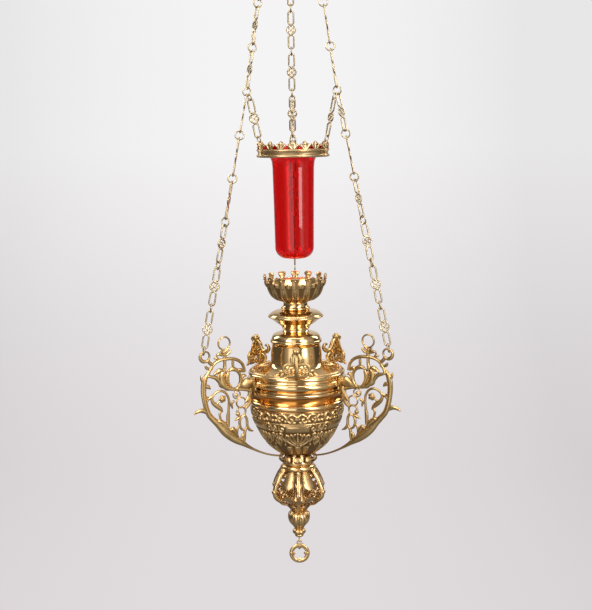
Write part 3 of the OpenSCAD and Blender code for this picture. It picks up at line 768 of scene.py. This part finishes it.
def buildTurnedStem():
    top = topOf("cup_neck")
    neck = np.vstack([
        [[boreRadius, top], [26.5, top], [25.4, top - 2]],
        smoothPath([[24.9, top - 4], [25.0, top - 8], [25.8, top - 10.4]], 4),
        arcLine(26.4, top - 13.6, 3.3, 80, -90, 8), [[boreRadius, top - 17]]])
    turnedPiece("cupNeck", neck, 96, "cup_neck")
    top = topOf("drip_pan")
    pan = np.vstack([
        [[boreRadius, top], [27, top]],
        smoothPath([[30, top - 0.3], [37, top - 1.2], [46, top - 4.0], [52.6, top - 8.2],
                    [55.2, top - 11.2]], 5),
        arcLine(55.4, top - 13.4, 1.9, 70, -80, 6),
        smoothPath([[52.6, top - 17.4], [45.6, top - 22.4], [40, top - 27], [33.4, top - 31.4],
                    [28.6, top - 36]], 5),
        [[boreRadius, top - 36]]])
    turnedPiece("dripPan", pan, 128, "drip_pan")
    top = topOf("neck_baluster")
    neck = np.vstack([
        [[boreRadius, top], [28.2, top]], arcLine(26.8, top - 1.8, 1.9, 60, -60, 5),
        smoothPath([[25.8, top - 4.4], [25.8, top - 6.4], [27.4, top - 8.8], [30.4, top - 10.6]], 5),
        [[boreRadius, top - 10.6]]])
    turnedPiece("neckBaluster", neck, 96, "neck_baluster")


def buildBell():
    top = topOf("bell_cap")
    cap = np.vstack([
        [[boreRadius, top - 5.4], [boreRadius, top], [32, top]],
        smoothPath([[34, top - 0.5], [40, top - 2.0], [46, top - 4.8], [49.8, top - 9.4]], 4),
        arcLine(49.4, top - 18.4, 4.0, 70, -80, 10),
        [[48, top - 25.4], [46, top - 25.4], [46, top - 17], [42, top - 9.4], [30, top - 5.4]]])
    turnedPiece("bellCap", cap, 128, "bell_cap")
    top, foot = topOf("bell"), footOf("bell")
    outer = smoothPath([[50.0, top], [49.8, top - 3], [51.6, top - 14], [52.6, top - 25], [52.4, foot]], 6)
    inner = smoothPath([[49.8, foot], [50, top - 25], [49.0, top - 14], [47.2, top]], 6)
    turnedPiece("bellBody", np.vstack([outer, inner]), 128, "bell")
    top, foot = topOf("shoulder_dish"), footOf("shoulder_dish")
    outer = smoothPath([[52.4, top], [53.4, top - 3.4], [57, top - 8.6], [64, top - 12.8], [75, top - 16.4],
                        [88, top - 18.6]], 6)
    turnedPiece("shoulderDish", np.vstack([outer, outer[::-1] - [1.8, 1.8]]), 144, "shoulder_dish")


def buildRim():
    top = topOf("leaf_band")
    line = np.vstack([[[86, top - 8]], arcLine(90.5, top - 4.5, 4.5, 180, 0, 12), [[95, top - 8]]])
    flower = [moved(dome(0, 0, 4.0, 1.2, rings=3, steps=14, petals=4), rotX(64), (0, -90, top - 0.6)),
              moved(dome(0, 0, 1.4, 1.6, rings=3, steps=8), rotX(64), (7.8, -89.6, top - 0.6))]
    castPiece("leafBand", [lathe(line, 144)] + around(flower, evenly(36)), "leaf_band", 42)
    top = topOf("rim_upper_moulding")
    line = np.vstack([
        [[86, top - 7], [86, top - 5], [94.6, top - 5], [95.2, top - 1.2]],
        arcLine(95.6, top - 4.9, 4.8, 88, -70, 12),
        [[98, top - 11.9], [95.4, top - 11.9], [95, top - 7.4]]])
    turnedPiece("rimUpperMoulding", line, 160, "rim_upper_moulding")
    top, foot = topOf("rim_moulding"), footOf("rim_moulding")
    line = np.vstack([
        [[95.4, top], [98, top]], arcLine(96, top - 8.1, 8, 75, -72, 16),
        [[102.4, top - 16.8], [102.4, top - 20.1], [100.6, top - 21.0]],
        arcLine(98, top - 25.6, 4.4, 68, -78, 10), [[98, foot], [95.4, foot]]])
    turnedPiece("rimMoulding", line, 160, "rim_moulding")
    top, foot = topOf("cove_ring"), footOf("cove_ring")
    line = np.vstack([
        [[95.4, top], [98, top]], arcLine(105.6, top - 7, 10.8, 142, 216, 14),
        [[97.4, foot], [92, foot], [92, top - 7]]])
    # the cove gets the brass with the painted warm orange reflection
    turnedPiece("coveRing", line, 160, "cove_ring", "coveBouncedLightBrass")
    top, foot = topOf("bowl_ring"), footOf("bowl_ring")
    line = np.vstack([
        [[90, top], [94, top]], arcLine(92, top - 6.9, 6.8, 80, -75, 14), [[94, foot], [90, foot]]])
    turnedPiece("bowlRing", line, 160, "bowl_ring")


buildTurnedStem()
buildBell()
buildRim()
print("turned body built")


# cup
cup = {"leaves": 14, "wall": [2.4, -2.0], "relief": 2.0}


def cupRelief(u, rise):
    # one cell of the relief: an arch that narrows as it rises, a stem in its middle and a pearl on it
    arch = np.exp(-((np.abs(u) - 0.55 * np.sqrt(1 - 0.8 * rise)) / 0.16) ** 2)
    stem = np.exp(-(u / 0.12) ** 2) * (0.4 + 0.6 * rise)
    pearl = np.exp(-((u / 0.2) ** 2 + ((rise - 0.62) / 0.16) ** 2))
    fade = np.sin(math.pi * np.clip(rise, 0.04, 0.96)) ** 0.5
    return np.clip(0.9 * arch + stem * 0.5 + pearl, 0, 1) * fade


def buildCup():
    # the wall is a lathe outline whose outside swells by the relief
    base, n = topOf("candle_cup"), cup["leaves"]
    steps = n * 24
    outer = smoothPath([[26, base - 40], [32, base - 38.4], [41, base - 35.4], [46.6, base - 31],
                        [51, base - 24.8], [54.6, base - 17], [58.8, base - 6], [61.4, base - 1]], 5)
    inner = outer[::-1] - cup["wall"]
    inner[-1] = [20, base - 37.6]
    line = np.vstack([[[boreRadius, base - 40]], outer, inner, [[boreRadius, base - 37.6]]])
    u = 2 * (np.linspace(0, n, steps, endpoint=False) % 1.0) - 1
    rise = np.clip((line[:, 1:2] - (base - 34)) / 30, 0, 1)
    outside = np.zeros((len(line), 1))
    outside[1:len(outer) + 1] = 1
    field = cupRelief(u, rise) * outside
    radial = lathe(line, steps)["points"].reshape(len(line), steps, 3)
    radial[..., :2] *= 1 + (field * cup["relief"] / np.maximum(line[:, 0:1], 8))[..., None]
    # relief follows the field outside and is 0.7 inside, so the brass paints shade between the ornament and
    # faintly inside the cup
    wall = patch(radial, closeRows=True, relief=np.where(outside > 0, 0.05 + 0.95 * field, 0.7))
    castPiece("cupWall", [wall], "candle_cup", 70)
    spine = [[59.6, base - 7], [61.2, base - 1], [62.0, base + 4], [62.8, base + 9], [64.6, base + 13.4],
             [66.4, base + 13.6]]
    big = leaf(spine, [15, 14, 12, 17, 17, 6], thick=2.6, vein=1.2, across=18, cup=1.0)
    spine = [[60.0, base - 6], [61.2, base - 1.4], [61.8, base + 1.4], [62.0, base + 2.6]]
    small = leaf(spine, [12, 11, 7, 2.4], 180 / n, vein=0.9, across=12)
    pearl = ball((65.2, 0, base + 8.5), 1.9, 12)
    castPiece("cupLeaves", around([big, small, pearl], evenly(n, 90)), "cup_gallery")


buildCup()
print("cup built")


# bowl with its chased relief
bowl = {"repeats": 6, "height": 2.6, "sunk": 1.2, "wall": 3.6, "columns": 600, "rows": 170}

# the relief of one cell in mm: x across from its middle to its edge, y down from the top
# ridges are a curve and its half width, from the running scroll of the frieze down to the palmette
bowlRidges = [
    ([[0, 10], [9, 4], [18, 8], [20, 16], [14, 20], [10, 15], [13, 12]], 2.4),
    ([[20, 14], [27, 5], [36, 5], [40, 12], [36, 18], [31, 14]], 2.3),
    ([[40, 12], [45, 6], [49, 8]], 2.2),
    ([[27, 28], [33, 24], [39, 28], [40, 36], [34, 40], [31, 35], [34, 32]], 2.2),
    ([[40, 34], [45, 40], [49, 36]], 2.2),
    ([[49, 28], [46, 33], [49, 40]], 2.0),
    ([[0, 46], [0, 70]], 2.6),
    ([[3, 68], [9, 60], [10, 52], [6, 47]], 2.2),
    ([[5, 72], [15, 64], [19, 55], [15, 48], [12, 52]], 2.3),
    ([[7, 76], [22, 68], [29, 58], [27, 50], [22, 51], [23, 56]], 2.3),
    ([[30, 66], [37, 56], [36, 48], [41, 46], [44, 52], [40, 56]], 2.3),
    ([[49, 48], [49, 76]], 2.6),
    ([[49, 74], [43, 68], [41, 62], [45, 58]], 2.1),
]
# rosettes, buds and berries: x, y, half width and half height
bowlStuds = [
    (0, 12, 6, 5), (24, 18, 4, 3), (30, 2.5, 4, 2.4), (45, 17, 4.5, 3.4), (7, 20, 4, 3),
    (36, 11, 2.6, 2.6), (13, 13, 2.6, 2.6), (34, 74, 3, 3), (0, 76, 4.5, 4), (22, 60, 2.2, 2.2),
    (16, 74, 3, 2.4), (49, 62, 3.4, 5),
]


def ridgeAlong(x, y, points, width):
    # height of a rounded ridge laid along a curve on the sheet: 1 on the curve, 0 a width away
    near = np.full(x.shape, 1e9)
    for px, py in smoothPath(points, 6):
        near = np.minimum(near, (x - px) ** 2 + (y - py) ** 2)
    return np.clip(1 - near / width**2, 0, 1) ** 0.5


def stud(x, y, px, py, width, tall):
    # a half ellipsoid on the sheet
    return np.clip(1 - ((x - px) / width) ** 2 - ((y - py) / tall) ** 2, 0, 1) ** 0.5


def tablet(x, y, width, tall, power, soften):
    # a flat-topped plate that is highest in its middle, 34 mm down
    return np.clip(1 - np.maximum(np.abs(x) / width, np.abs(y - 34) / tall) ** power, 0, 1) ** soften


def bowlField(u, v):
    # one cell of the relief; u runs from -1 to 1 across a cell of 98 mm, v from 0 at the top to 1
    x, y = np.abs(u) * 49, v * 120
    layers = [ridgeAlong(x, y, points, width) for points, width in bowlRidges]
    layers += [0.9 * stud(x, y, *place) for place in bowlStuds]
    # cartouche: a raised tablet in the middle with a moulded edge
    layers += [0.55 * tablet(x, y, 27, 8, 8, 0.4), 1.05 * tablet(x, y, 25, 5.4, 6, 0.5)]
    # foot: pointed petals that rise from the collar
    petal = 12 * (1 - ((y - 84) / 26) ** 2)
    inside = np.clip(1 - (np.minimum(x, np.abs(x - 24.5)) / np.maximum(petal * 0.75, 0.1)) ** 2, 0, 1) ** 0.5
    layers.append(0.9 * np.where((y > 80) & (y < 118), inside, 0))
    # a bead along the top edge and one under the frieze
    layers += [np.where(np.abs(y - 0.8) < 1.4, 0.5, 0), np.where(np.abs(y - 24) < 1.2, 0.6, 0)]
    return np.maximum.reduce(layers)


def buildBowl():
    # the outside is the outline raised along its normal by the relief, the inside a plain one
    top, columns = topOf("bowl"), bowl["columns"]
    outer = smoothPath([[96.4, top], [95.8, top - 16], [92.2, top - 32], [84.0, top - 50], [74.0, top - 69],
                        [61.4, top - 86], [49, top - 97], [35, top - 106.2]], 60)
    along = np.concatenate([[0], np.cumsum(np.linalg.norm(np.diff(outer, axis=0), axis=1))])
    even = np.linspace(0, along[-1], bowl["rows"])
    outer = np.stack([np.interp(even, along, outer[:, k]) for k in (0, 1)], 1)
    u, v = np.meshgrid(np.linspace(-1, 1, columns // bowl["repeats"], endpoint=False),
                       np.linspace(0, 1, bowl["rows"]))
    field = np.tile(bowlField(u, v), (1, bowl["repeats"]))
    ahead = unit(np.gradient(outer, axis=0))
    out = np.stack([-ahead[:, 1], ahead[:, 0]], 1)
    lift = bowl["height"] * field - bowl["sunk"]
    a = fullTurn(columns) + math.pi * 1.5 - math.pi / bowl["repeats"]
    skin = revolved(outer[:, 0:1] + out[:, 0:1] * lift, outer[:, 1:2] + out[:, 1:2] * lift, a)
    inner = np.vstack([[[boreRadius, top - 106.6], [boreRadius, top - 102.8], [33, top - 102.8]],
                       outer[::-8] - out[::-8] * bowl["wall"], [[92, top]]])
    points = np.concatenate([skin, revolved(inner[:, :1], inner[:, 1:], a)], 0)
    # relief is the chased field outside, so the brass paints shade on the sunk ground between the ornament;
    # the inside gets none
    relief = np.concatenate([0.1 + 0.9 * field, np.ones((len(inner), columns))], 0)
    castPiece("bowlShell", [patch(points, closeRows=True, relief=relief)], "bowl", 75)


buildBowl()
print("bowl built")


# scroll arms
arm = {
    "thick": 7.6, "fine": 5.6,   # depth of the main members and of the slighter ones
    "heavy": 1.32,               # factor on every member's width
    "rootRadius": 106.0,
}


def armParts():
    # members, volutes and leaves in the arm's own plane: x is the distance from the lamp's axis
    thick, fine = arm["thick"], arm["fine"]
    parts = []

    def member(points, depth=fine, **more):
        parts.append(band(np.asarray(points) * [1, 1, arm["heavy"]], depth, **more))

    # eye volute that carries the chain, with the stem up to it
    parts.append(ringBand(208.6, -889.5, 9.5, 3.7, thick=6, steps=36))
    crescent = arcLine(208.6, -889.5, 10.8, 60, -150, 8)
    member(np.column_stack([crescent, [1.6, 3.4, 4.8, 5.6, 6.0, 5.6, 4.6, 3.6, 2.4]]), 6)
    member([[203.4, -898, 4.6], [198.6, -904, 5.6], [194, -909, 5], [196, -918, 4]], thick)
    member([[199, -915, 1.5], [205, -914, 5], [209, -909, 3]])
    # top scroll with its stem and leaf
    parts.append(ringBand(166, -867.5, 12.8, 3.4, thick=4.6, steps=40))
    member([[156, -876, 2.4], [161, -882, 5], [168, -886, 5], [174, -881, 3]])
    member([[166, -881, 4], [165.4, -890, 5.5], [165, -900, 6.5]])
    member([[165, -893, 2], [157, -889, 5], [151, -883, 2]])
    member([[165, -894, 2], [173, -890, 5], [180, -888, 4.6], [184, -893, 1.6]])
    # arch from the outer member to the rim
    member([[203, -929, 4], [197.5, -916, 4.6], [188, -905.5, 4.8], [176, -901, 5], [160, -900, 5.4],
            [146, -901.5, 5.2], [133, -907.5, 5], [125, -917, 4.8], [121, -931, 4.2]], thick)
    member([[179, -902, 3], [183, -896.5, 5.4], [190, -896, 1.6]])
    # hangers from the arch to the calyx
    member([[147, -901, 3.2], [147.6, -912, 4.4], [146.6, -922, 3]])
    member([[165.6, -901, 5], [165.8, -914, 5], [168, -926, 8]], thick)
    # calyx: a cupped leaf mass with a ring of leaf round an open eye
    member([[168, -921, 5], [174, -934, 15], [172, -948, 15], [163, -958, 11], [155, -963, 5]],
           8, lobes=3, lobeDepth=0.25)
    member([[162, -928, 3], [178, -922, 8], [190, -929, 3]], thick)
    member([[160, -926, 3], [150, -922, 7], [139, -926, 6], [132, -936, 5], [131, -948, 5], [135, -958, 4.5],
            [143, -964, 4]], thick)
    member([[158, -928, 5], [161, -938, 7], [159, -950, 6], [152, -960, 4]], thick)
    member([[140, -926, 2], [131, -926, 6], [124, -931, 3]])
    # branch that runs from the outer member back to the rim
    member([[206, -930, 4], [197, -932, 5], [186, -936, 6.6], [177, -946, 7], [168, -956, 7], [156, -962, 6],
            [142, -964, 5.4], [124, -967, 5.4], [107, -972, 6]], thick)
    # outer member with its foot leaf, and the wire under the bowl
    member([[200, -918, 3.4], [205, -926, 6], [210, -934, 8.6], [213.4, -948, 9.6], [214, -964, 9],
            [211.4, -984, 8.6], [208, -998, 8.6], [203, -1010, 8.6], [194, -1021, 9], [183, -1032, 11],
            [170, -1046, 14.6], [157, -1058, 15], [143, -1070, 12], [125, -1082.4, 7], [109, -1093, 4.2],
            [93, -1102, 3.2], [77, -1109.4, 2.8], [61, -1115, 2.8], [49, -1118, 2.8],
            [38, -1120.4, 2.8]], 8)
    member([[188, -1024, 2], [178, -1027, 7], [168, -1036, 8], [163, -1048, 3]], thick)
    member([[160, -1050, 2], [152, -1046, 8], [146, -1054, 6], [138, -1066, 2]], thick)
    member([[176, -1040, 2], [166, -1048, 4], [150, -1060, 4], [130, -1073, 2]], 10)
    member([[134, -1070, 2], [128, -1062, 7], [130, -1074, 5], [120, -1082, 2]])
    # leaf tips outside and inside the outer member
    member([[205, -1006, 5], [214, -1000, 7], [222, -998, 6.4], [231, -1000, 5], [237, -1004, 1.4]])
    member([[211, -944, 3], [217.5, -936, 4.6], [218.6, -926, 1.2]])
    member([[210, -950, 5], [204, -952, 6.6], [199, -957, 2]])
    member([[210, -972, 4], [204, -976, 5.6], [198, -975, 3]])
    # large volute with its flower, ending in a curled leaf
    member([[161.6, -1040, 5], [160.4, -1022, 4.6], [159.6, -1004, 4], [158.4, -986, 4], [162, -974, 4],
            [170, -965.6, 4], [180, -963.6, 4], [190, -967.6, 4], [196.4, -976, 4.6], [194, -985.6, 6],
            [186, -993, 7.4], [178, -1000, 6.6], [174, -1007, 3]], fine)
    member([[195, -973, 4], [202, -975, 5], [209, -982, 4]], fine)
    parts.append(dome(173, -980.6, 8.4, 3.6, rings=5, steps=30, petals=5))
    parts.append(dome(173, -980.6, 3.0, 5.0, rings=4, steps=12))
    member([[179, -984, 2.4], [185, -988, 3.4], [189, -990, 2]], 4)
    member([[176, -1004, 4], [180, -1012, 4], [177, -1024, 3.4], [173, -1032, 2]], 4)
    member([[160, -1010, 5], [162, -1020, 5.6], [162, -1036, 5]], 6)
    member([[158.6, -990, 2], [153, -996, 4.6], [151, -1004, 1.4]], 4)
    # flower and rings between the branch and the bowl
    parts.append(ringBand(140.6, -976, 8.0, 2.8, thick=4, steps=30))
    parts.append(dome(141, -977, 4.6, 3.2, rings=4, steps=20, petals=4))
    parts.append(ringBand(131, -993.6, 10.4, 3.2, thick=4.6, steps=36))
    parts.append(ringBand(131, -1012.6, 9.6, 3.8, thick=4.6, steps=36))
    parts.append(dome(139, -1016, 4.8, 3.4, rings=4, steps=16))
    member([[146, -988, 2], [150, -990, 5], [156, -993, 2]], 4)
    member([[110, -970, 7], [111, -982, 8], [117, -990, 6], [122, -995, 3]], thick)
    member([[112, -984, 4], [112, -996, 6], [118, -1004, 5], [124, -1008, 3]], fine)
    member([[125, -1019, 3.6], [119, -1030, 4.4], [118, -1044, 4.4], [113, -1053, 4.6],
            [105, -1057, 1.6]], fine)
    member([[120, -1046, 3], [124, -1056, 4.6], [125, -1068, 4.6], [127, -1079, 4]], fine)
    member([[124, -1021, 3], [132, -1025, 4], [135.6, -1036, 4.2], [132, -1048, 4], [124, -1053, 3]], fine)
    member([[131, -1024, 2.4], [139, -1025.6, 5.4], [147, -1029, 1.8]], fine)
    member([[136, -1040, 2], [141, -1048, 4.4], [142, -1058, 4]], 4)
    return parts


def rootLeaf():
    # palmette by which the arm's inner end lies on the rim
    top, foot, r = -944.0, -985.0, arm["rootRadius"]
    spine = [[99, top], [103.4, top - 4], [r, top - 12], [r + 0.6, top - 22], [r - 1, top - 30],
             [r - 2.6, foot]]
    parts = [leaf(spine, [5, 14, 20, 19, 13, 3], thick=3.4, vein=1.6, lobes=3, lobeDepth=0.3, across=20)]
    for aside, low, size in ((8.55, 2, 10), (12.6, 12, 9), (10.8, 22, 9)):
        spine = [[r, top - 16 - low], [r + 0.4, top - 14 - low], [r, top - 10 - low],
                 [r - 1.4, top - 8 - low]]
        for side in (-1, 1):
            parts.append(leaf(spine, [3, size, size, 3], math.degrees(side * aside / r),
                              thick=3.0, vein=1.2))
    plate = band([[101, -948, 10], [108, -954, 22], [117, -957, 26], [126, -959, 18], [135, -962, 5]], 9)
    curl = band([[118, -940, 3], [124, -938, 7], [129, -944, 8], [127, -952, 5]], 8)
    drop = band([[107, -966, 10], [109, -977, 12], [113, -986, 5]], 9)
    return parts + [plate, curl, drop]


def buildArms():
    parts = armParts() + rootLeaf()
    for side, direction in armDirs.items():
        castPiece(side + "ScrollArm", around(parts, [direction]), side + "_arm", 55, "armBrass")


buildArms()
print("arms built")


# shoulder brackets
bracket = {
    "base": -936.2,    # height of the foot
    "volute": 16.5,    # from the middle to each volute's eye
    "heavy": 1.55,     # factor on every member's width
}


def bracketParts():
    base = bracket["base"]
    parts = []

    def stroke(points, depth):
        return band(np.asarray(points) * [1, 1, bracket["heavy"]], depth)

    def member(points, depth):
        parts.append(stroke(points, depth))

    # radial fin: curl at the top, back member, inner scrolls and struts
    parts.extend(spiral(102, -884.6, 8, 6, 5.4, 1.6, 200, -330, thick=13))
    member([[95, -886, 6], [90, -892, 8], [86, -901, 7], [80, -908, 6], [72, -909, 6], [66.4, -903, 5],
            [69, -896, 4.4], [75, -896, 3]], 8)
    member([[97, -889, 5], [102, -899, 6], [106, -911, 6.6], [106.6, -924, 7], [103, base, 6]], 9)
    member([[91, -896, 4], [96, -903, 5], [103, -908, 4]], 7)
    member([[84, -905, 4], [90, -913, 6], [97, -917, 5], [105, -918, 4]], 8)
    member([[82, -914, 4], [76, -921, 6], [78, -929, 5], [86, base + 1.4, 5], [98, base + 1.2, 5]], 7)
    member([[88, -914, 3], [89, -924, 5], [93, base + 2, 4]], 6)
    # outward face: a heart leaf over two volutes and a shell
    face = [dome(0, -903, 9, 3.0, rings=4, steps=24, petals=3), dome(0, -905, 3.4, 4.6, rings=3, steps=12)]
    parts.append(ball((97, 0, -881.6), 7.4, 18))
    face.append(band([[0, -882, 7], [0, -887, 15], [0, -894, 21], [0, -903, 24], [0, -912, 14],
                      [0, -920, 6]], 6))
    for side in (-1, 1):
        face.append(stroke([[0, -893, 3], [side * 7, -896, 6], [side * 9, -904, 5], [side * 3, -912, 3]], 4))
        x = side * bracket["volute"]
        sweep = 420 if side < 0 else -420
        face.extend(spiral(x, -920.4, 7.0, 4.6, 11.0, 2.4, 90, sweep, thick=6, count=22))
        face.append(stroke([[side * 2, -912, 3], [side * 8, -910, 5], [x, -911.6, 4.6]], 5))
        face.append(stroke([[x + side * 8, -926, 3], [x + side * 12, -932, 6], [x + side * 17, base, 2]], 4))
        face.append(stroke([[side * 3, -930, 3], [side * 8, -933.4, 5], [x + side * 4, -934, 3]], 5))
    face.append(dome(0, -929, 7, 3.4, rings=4, steps=24, petals=5))
    turned = rotZ(90)
    parts += [moved(p, turned, (100.5, 0, 0)) for p in face]
    for p in parts:   # nothing goes below the foot
        height = p["points"][:, 2]
        np.maximum(height, base, out=height)
    return parts


def buildBrackets():
    parts = bracketParts()
    for side, direction in bracketDirs.items():
        castPiece(side + "ScrollBracket", around(parts, [direction]), side + "_bracket", 55, "armBrass")


buildBrackets()
print("brackets built")


# pendant
knop = {"count": 6, "start": 30}


def buildCollar():
    top = topOf("pendant_collar")
    core = np.vstack([
        [[boreRadius, top - 24], [31, top - 24]],
        smoothPath([[33, top - 22], [33, top - 17], [30, top - 12], [27, top - 6], [26, top - 1]], 4),
        [[24, top], [boreRadius, top]]])
    spine = [[29, top - 1], [35, top - 3], [38.6, top - 8], [40, top - 12.6], [37, top - 16.4],
             [32.6, top - 18]]
    petal = leaf(spine, [7, 12, 17, 18, 13, 5], thick=2.2, vein=1.4, across=16)
    castPiece("pendantCollar", [lathe(core[::-1], 96)] + around([petal], evenly(10, 90)), "pendant_collar")


def buildKnop():
    # a slim pear inside, and round it the scrolls and the leaves between them
    top = topOf("knop_core")
    core = np.vstack([[[boreRadius, top], [30, top]], arcLine(29, top - 7, 6.4, 60, -60, 8),
                      smoothPath([[24, top - 15], [15, top - 25], [11, top - 41], [11, top - 59],
                                  [14, top - 71], [19, top - 81], [17, top - 88]], 4),
                      [[boreRadius, top - 88]]])
    castPiece("knopCore", [lathe(core, 72)], "knop_core", 42)
    scroll = []
    for points, depth in (
            ([[26, -1158, 5], [33, -1150, 6], [39, -1153, 6], [40, -1162, 5], [34, -1168, 5],
              [30, -1163, 4]], 8),
            ([[33, -1150, 5], [41, -1160, 8], [47, -1170, 9], [52, -1180, 9], [56, -1190, 9.4],
              [57, -1200, 9.4], [53, -1210, 9], [45, -1216.5, 8], [36, -1217, 6], [31, -1211, 5],
              [35, -1205, 4]], 11),
            ([[51, -1198, 6], [44, -1201, 6], [40, -1194, 5], [45, -1188, 5], [50, -1191, 3]], 9),
            ([[45, -1172, 4], [39, -1179, 6], [32, -1178, 5], [27, -1170, 4]], 8),
            ([[50, -1212, 5], [42, -1221, 7], [33, -1226, 7], [25, -1224, 6], [24, -1217, 4]], 9),
            ([[30, -1214, 4], [22, -1219, 5], [18, -1226, 4]], 7)):
        scroll.append(band(points, depth))
    scroll.append(moved(dome(0, 0, 5.6, 3.6, rings=4, steps=16), rotZ(90), (60, 0, -1196)))
    scroll.append(ball((37, 0, -1211), 4.6, 14))
    between = 180 / knop["count"]
    for spine, widths, direction, thick, vein, lobeDepth, across in (
            ([[35, -1150], [43, -1162], [51, -1175], [59, -1189]], [6, 13, 15, 5], 0, 3, 1.6, 0.3, 16),
            ([[60, -1201], [56, -1211], [47, -1219], [33, -1226]], [6, 14, 12, 5], 0, 3, 1.6, 0.3, 16),
            ([[29, -1152], [35, -1161], [42, -1172], [47, -1181], [50, -1188]], [12, 20, 27, 30, 14],
             between, 2.6, 2.0, 0.18, 20),
            ([[52, -1203], [48, -1210], [40, -1216], [29, -1223]], [16, 28, 22, 14],
             between, 2.6, 1.8, 0.2, 20)):
        scroll.append(leaf(spine, widths, direction, thick, vein, 2, lobeDepth, across))
    castPiece("knopScrolls", around(scroll, evenly(knop["count"], knop["start"])), "knop_scrolls")


def buildPetals():
    top = topOf("knop_petals")
    line = np.vstack([
        [[boreRadius, top - 17], [14, top - 17]],
        smoothPath([[15, top - 14], [16, top - 8], [18, top - 2]], 4), [[18, top], [boreRadius, top]]])
    petal = leaf([[15.6, top - 15], [19, top - 10], [23.4, top - 5], [26.6, top - 1.6], [24.6, top - 0.4]],
                 [6, 10, 14, 11, 4], thick=2.2, vein=1.2)
    castPiece("knopPetals", [lathe(line, 64)] + around([petal], evenly(8, 22)), "knop_petals")


def buildVase():
    # the radius swells and shrinks round the belly by the absolute cosine of five times the angle
    top = topOf("pendant_vase")
    outer = smoothPath([[16.2, top], [19.6, top - 4.4], [21.6, top - 9], [21.9, top - 15], [20.4, top - 22],
                        [17.6, top - 27.4], [14, top - 31.6], [11, top - 36], [9.6, top - 39.6]], 6)
    foot = smoothPath([[8.4, top - 51.6], [9.4, top - 54], [7, top - 57], [5, top - 58]], 3)
    line = np.vstack([[[0.01, top]], outer, arcLine(8.4, top - 45.4, 5.6, 62, -62, 8),
                      foot, [[0.01, top - 58]]])
    a = fullTurn(160)
    zone = np.clip(1 - np.abs((line[:, 1:2] - (top - 17)) / 17) ** 3, 0, 1)
    flute = np.abs(np.cos(a * 5)) ** 0.6 * zone
    r = line[:, 0:1] * (1 + 0.11 * (flute - 0.5 * zone))
    # relief is low in the grooves between the flutes, where the brass paints shade
    relief = np.where(zone > 0.02, 0.15 + 0.85 * flute, 1.0)
    body = patch(revolved(r, line[:, 1:2], a), capStart=True, capEnd=True, relief=relief)
    spine = [[17, top - 1], [21.4, top - 5], [22.8, top - 11], [21.8, top - 16]]
    sepal = leaf(spine, [4, 9, 8, 2], vein=1.0, across=12)
    castPiece("pendantVase", [body] + around([sepal], evenly(10, 18)), "pendant_vase")


drop = {"centre": -1341.0, "radius": 21.6, "wide": 8.8, "pivot": -1311.5}   # heights and lengths in mm


def buildDropRing():
    # a flat ring with four cusps inside, hung by two forks from a wire loop
    z, wide, pivot = drop["centre"], drop["wide"], drop["pivot"]
    middle = drop["radius"] - wide / 2
    parts = [ringBand(0, z, middle, wide, 5, 64, 12)]
    for a in (0, 90, 180, 270):
        c, s = math.cos(math.radians(a)), math.sin(math.radians(a))
        cusp = [[c * reach, z + s * reach, w] for reach, w in ((16, 15), (12.4, 9.0), (8.6, 1.8))]
        parts.append(band(cusp, 4.6))
        parts.append(dome(c * middle, z + s * middle, 3.4, 3.2, rings=4, steps=20))
    for side in (-1, 1):
        fork = [[side * 3.9, pivot - 4.4, 2.8], [side * 5.0, pivot - 9.0, 4.4], [side * 9.6, z + 16.6, 6]]
        parts.append(band(fork, 4.6))
    parts.append(band([[0, pivot - 11.6, 3], [0, z + 18.4, 7]], 4.4, steps=3))
    loop = np.vstack([[[3.9, pivot - 6]], arcLine(0, pivot - 3.9, 3.9, 0, 180, 14), [[-3.9, pivot - 6]]])
    parts.append(band(np.column_stack([loop, np.full(len(loop), 2.8)]), 2.8, steps=2, sides=12))
    makePiece("pullRing", parts, brass["castBrass"], "pull", ["drop_ring"], sharpAngle=60)


buildCollar()
buildKnop()
buildPetals()
buildVase()
buildDropRing()
print("pendant built")


# nodes that keep their solid shape
keptNodes = {
    "fixingBrass": ["hanging_plate", "swivel_fork", "fork_pin", "stem_nut", "canopy_hooks", "hook_nuts",
                    "crown_lugs", "arm_screws", "bracket_screws", "cup_nut", "bowl_nut", "pendant_eye"],
    "turnedBrass": ["canopy", "canopy_plate"],
    "rodIron": ["tie_rod"],
}
for name, nodes in keptNodes.items():
    for node in nodes:
        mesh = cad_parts[node].data
        mesh.materials.clear()
        mesh.materials.append(brass[name])
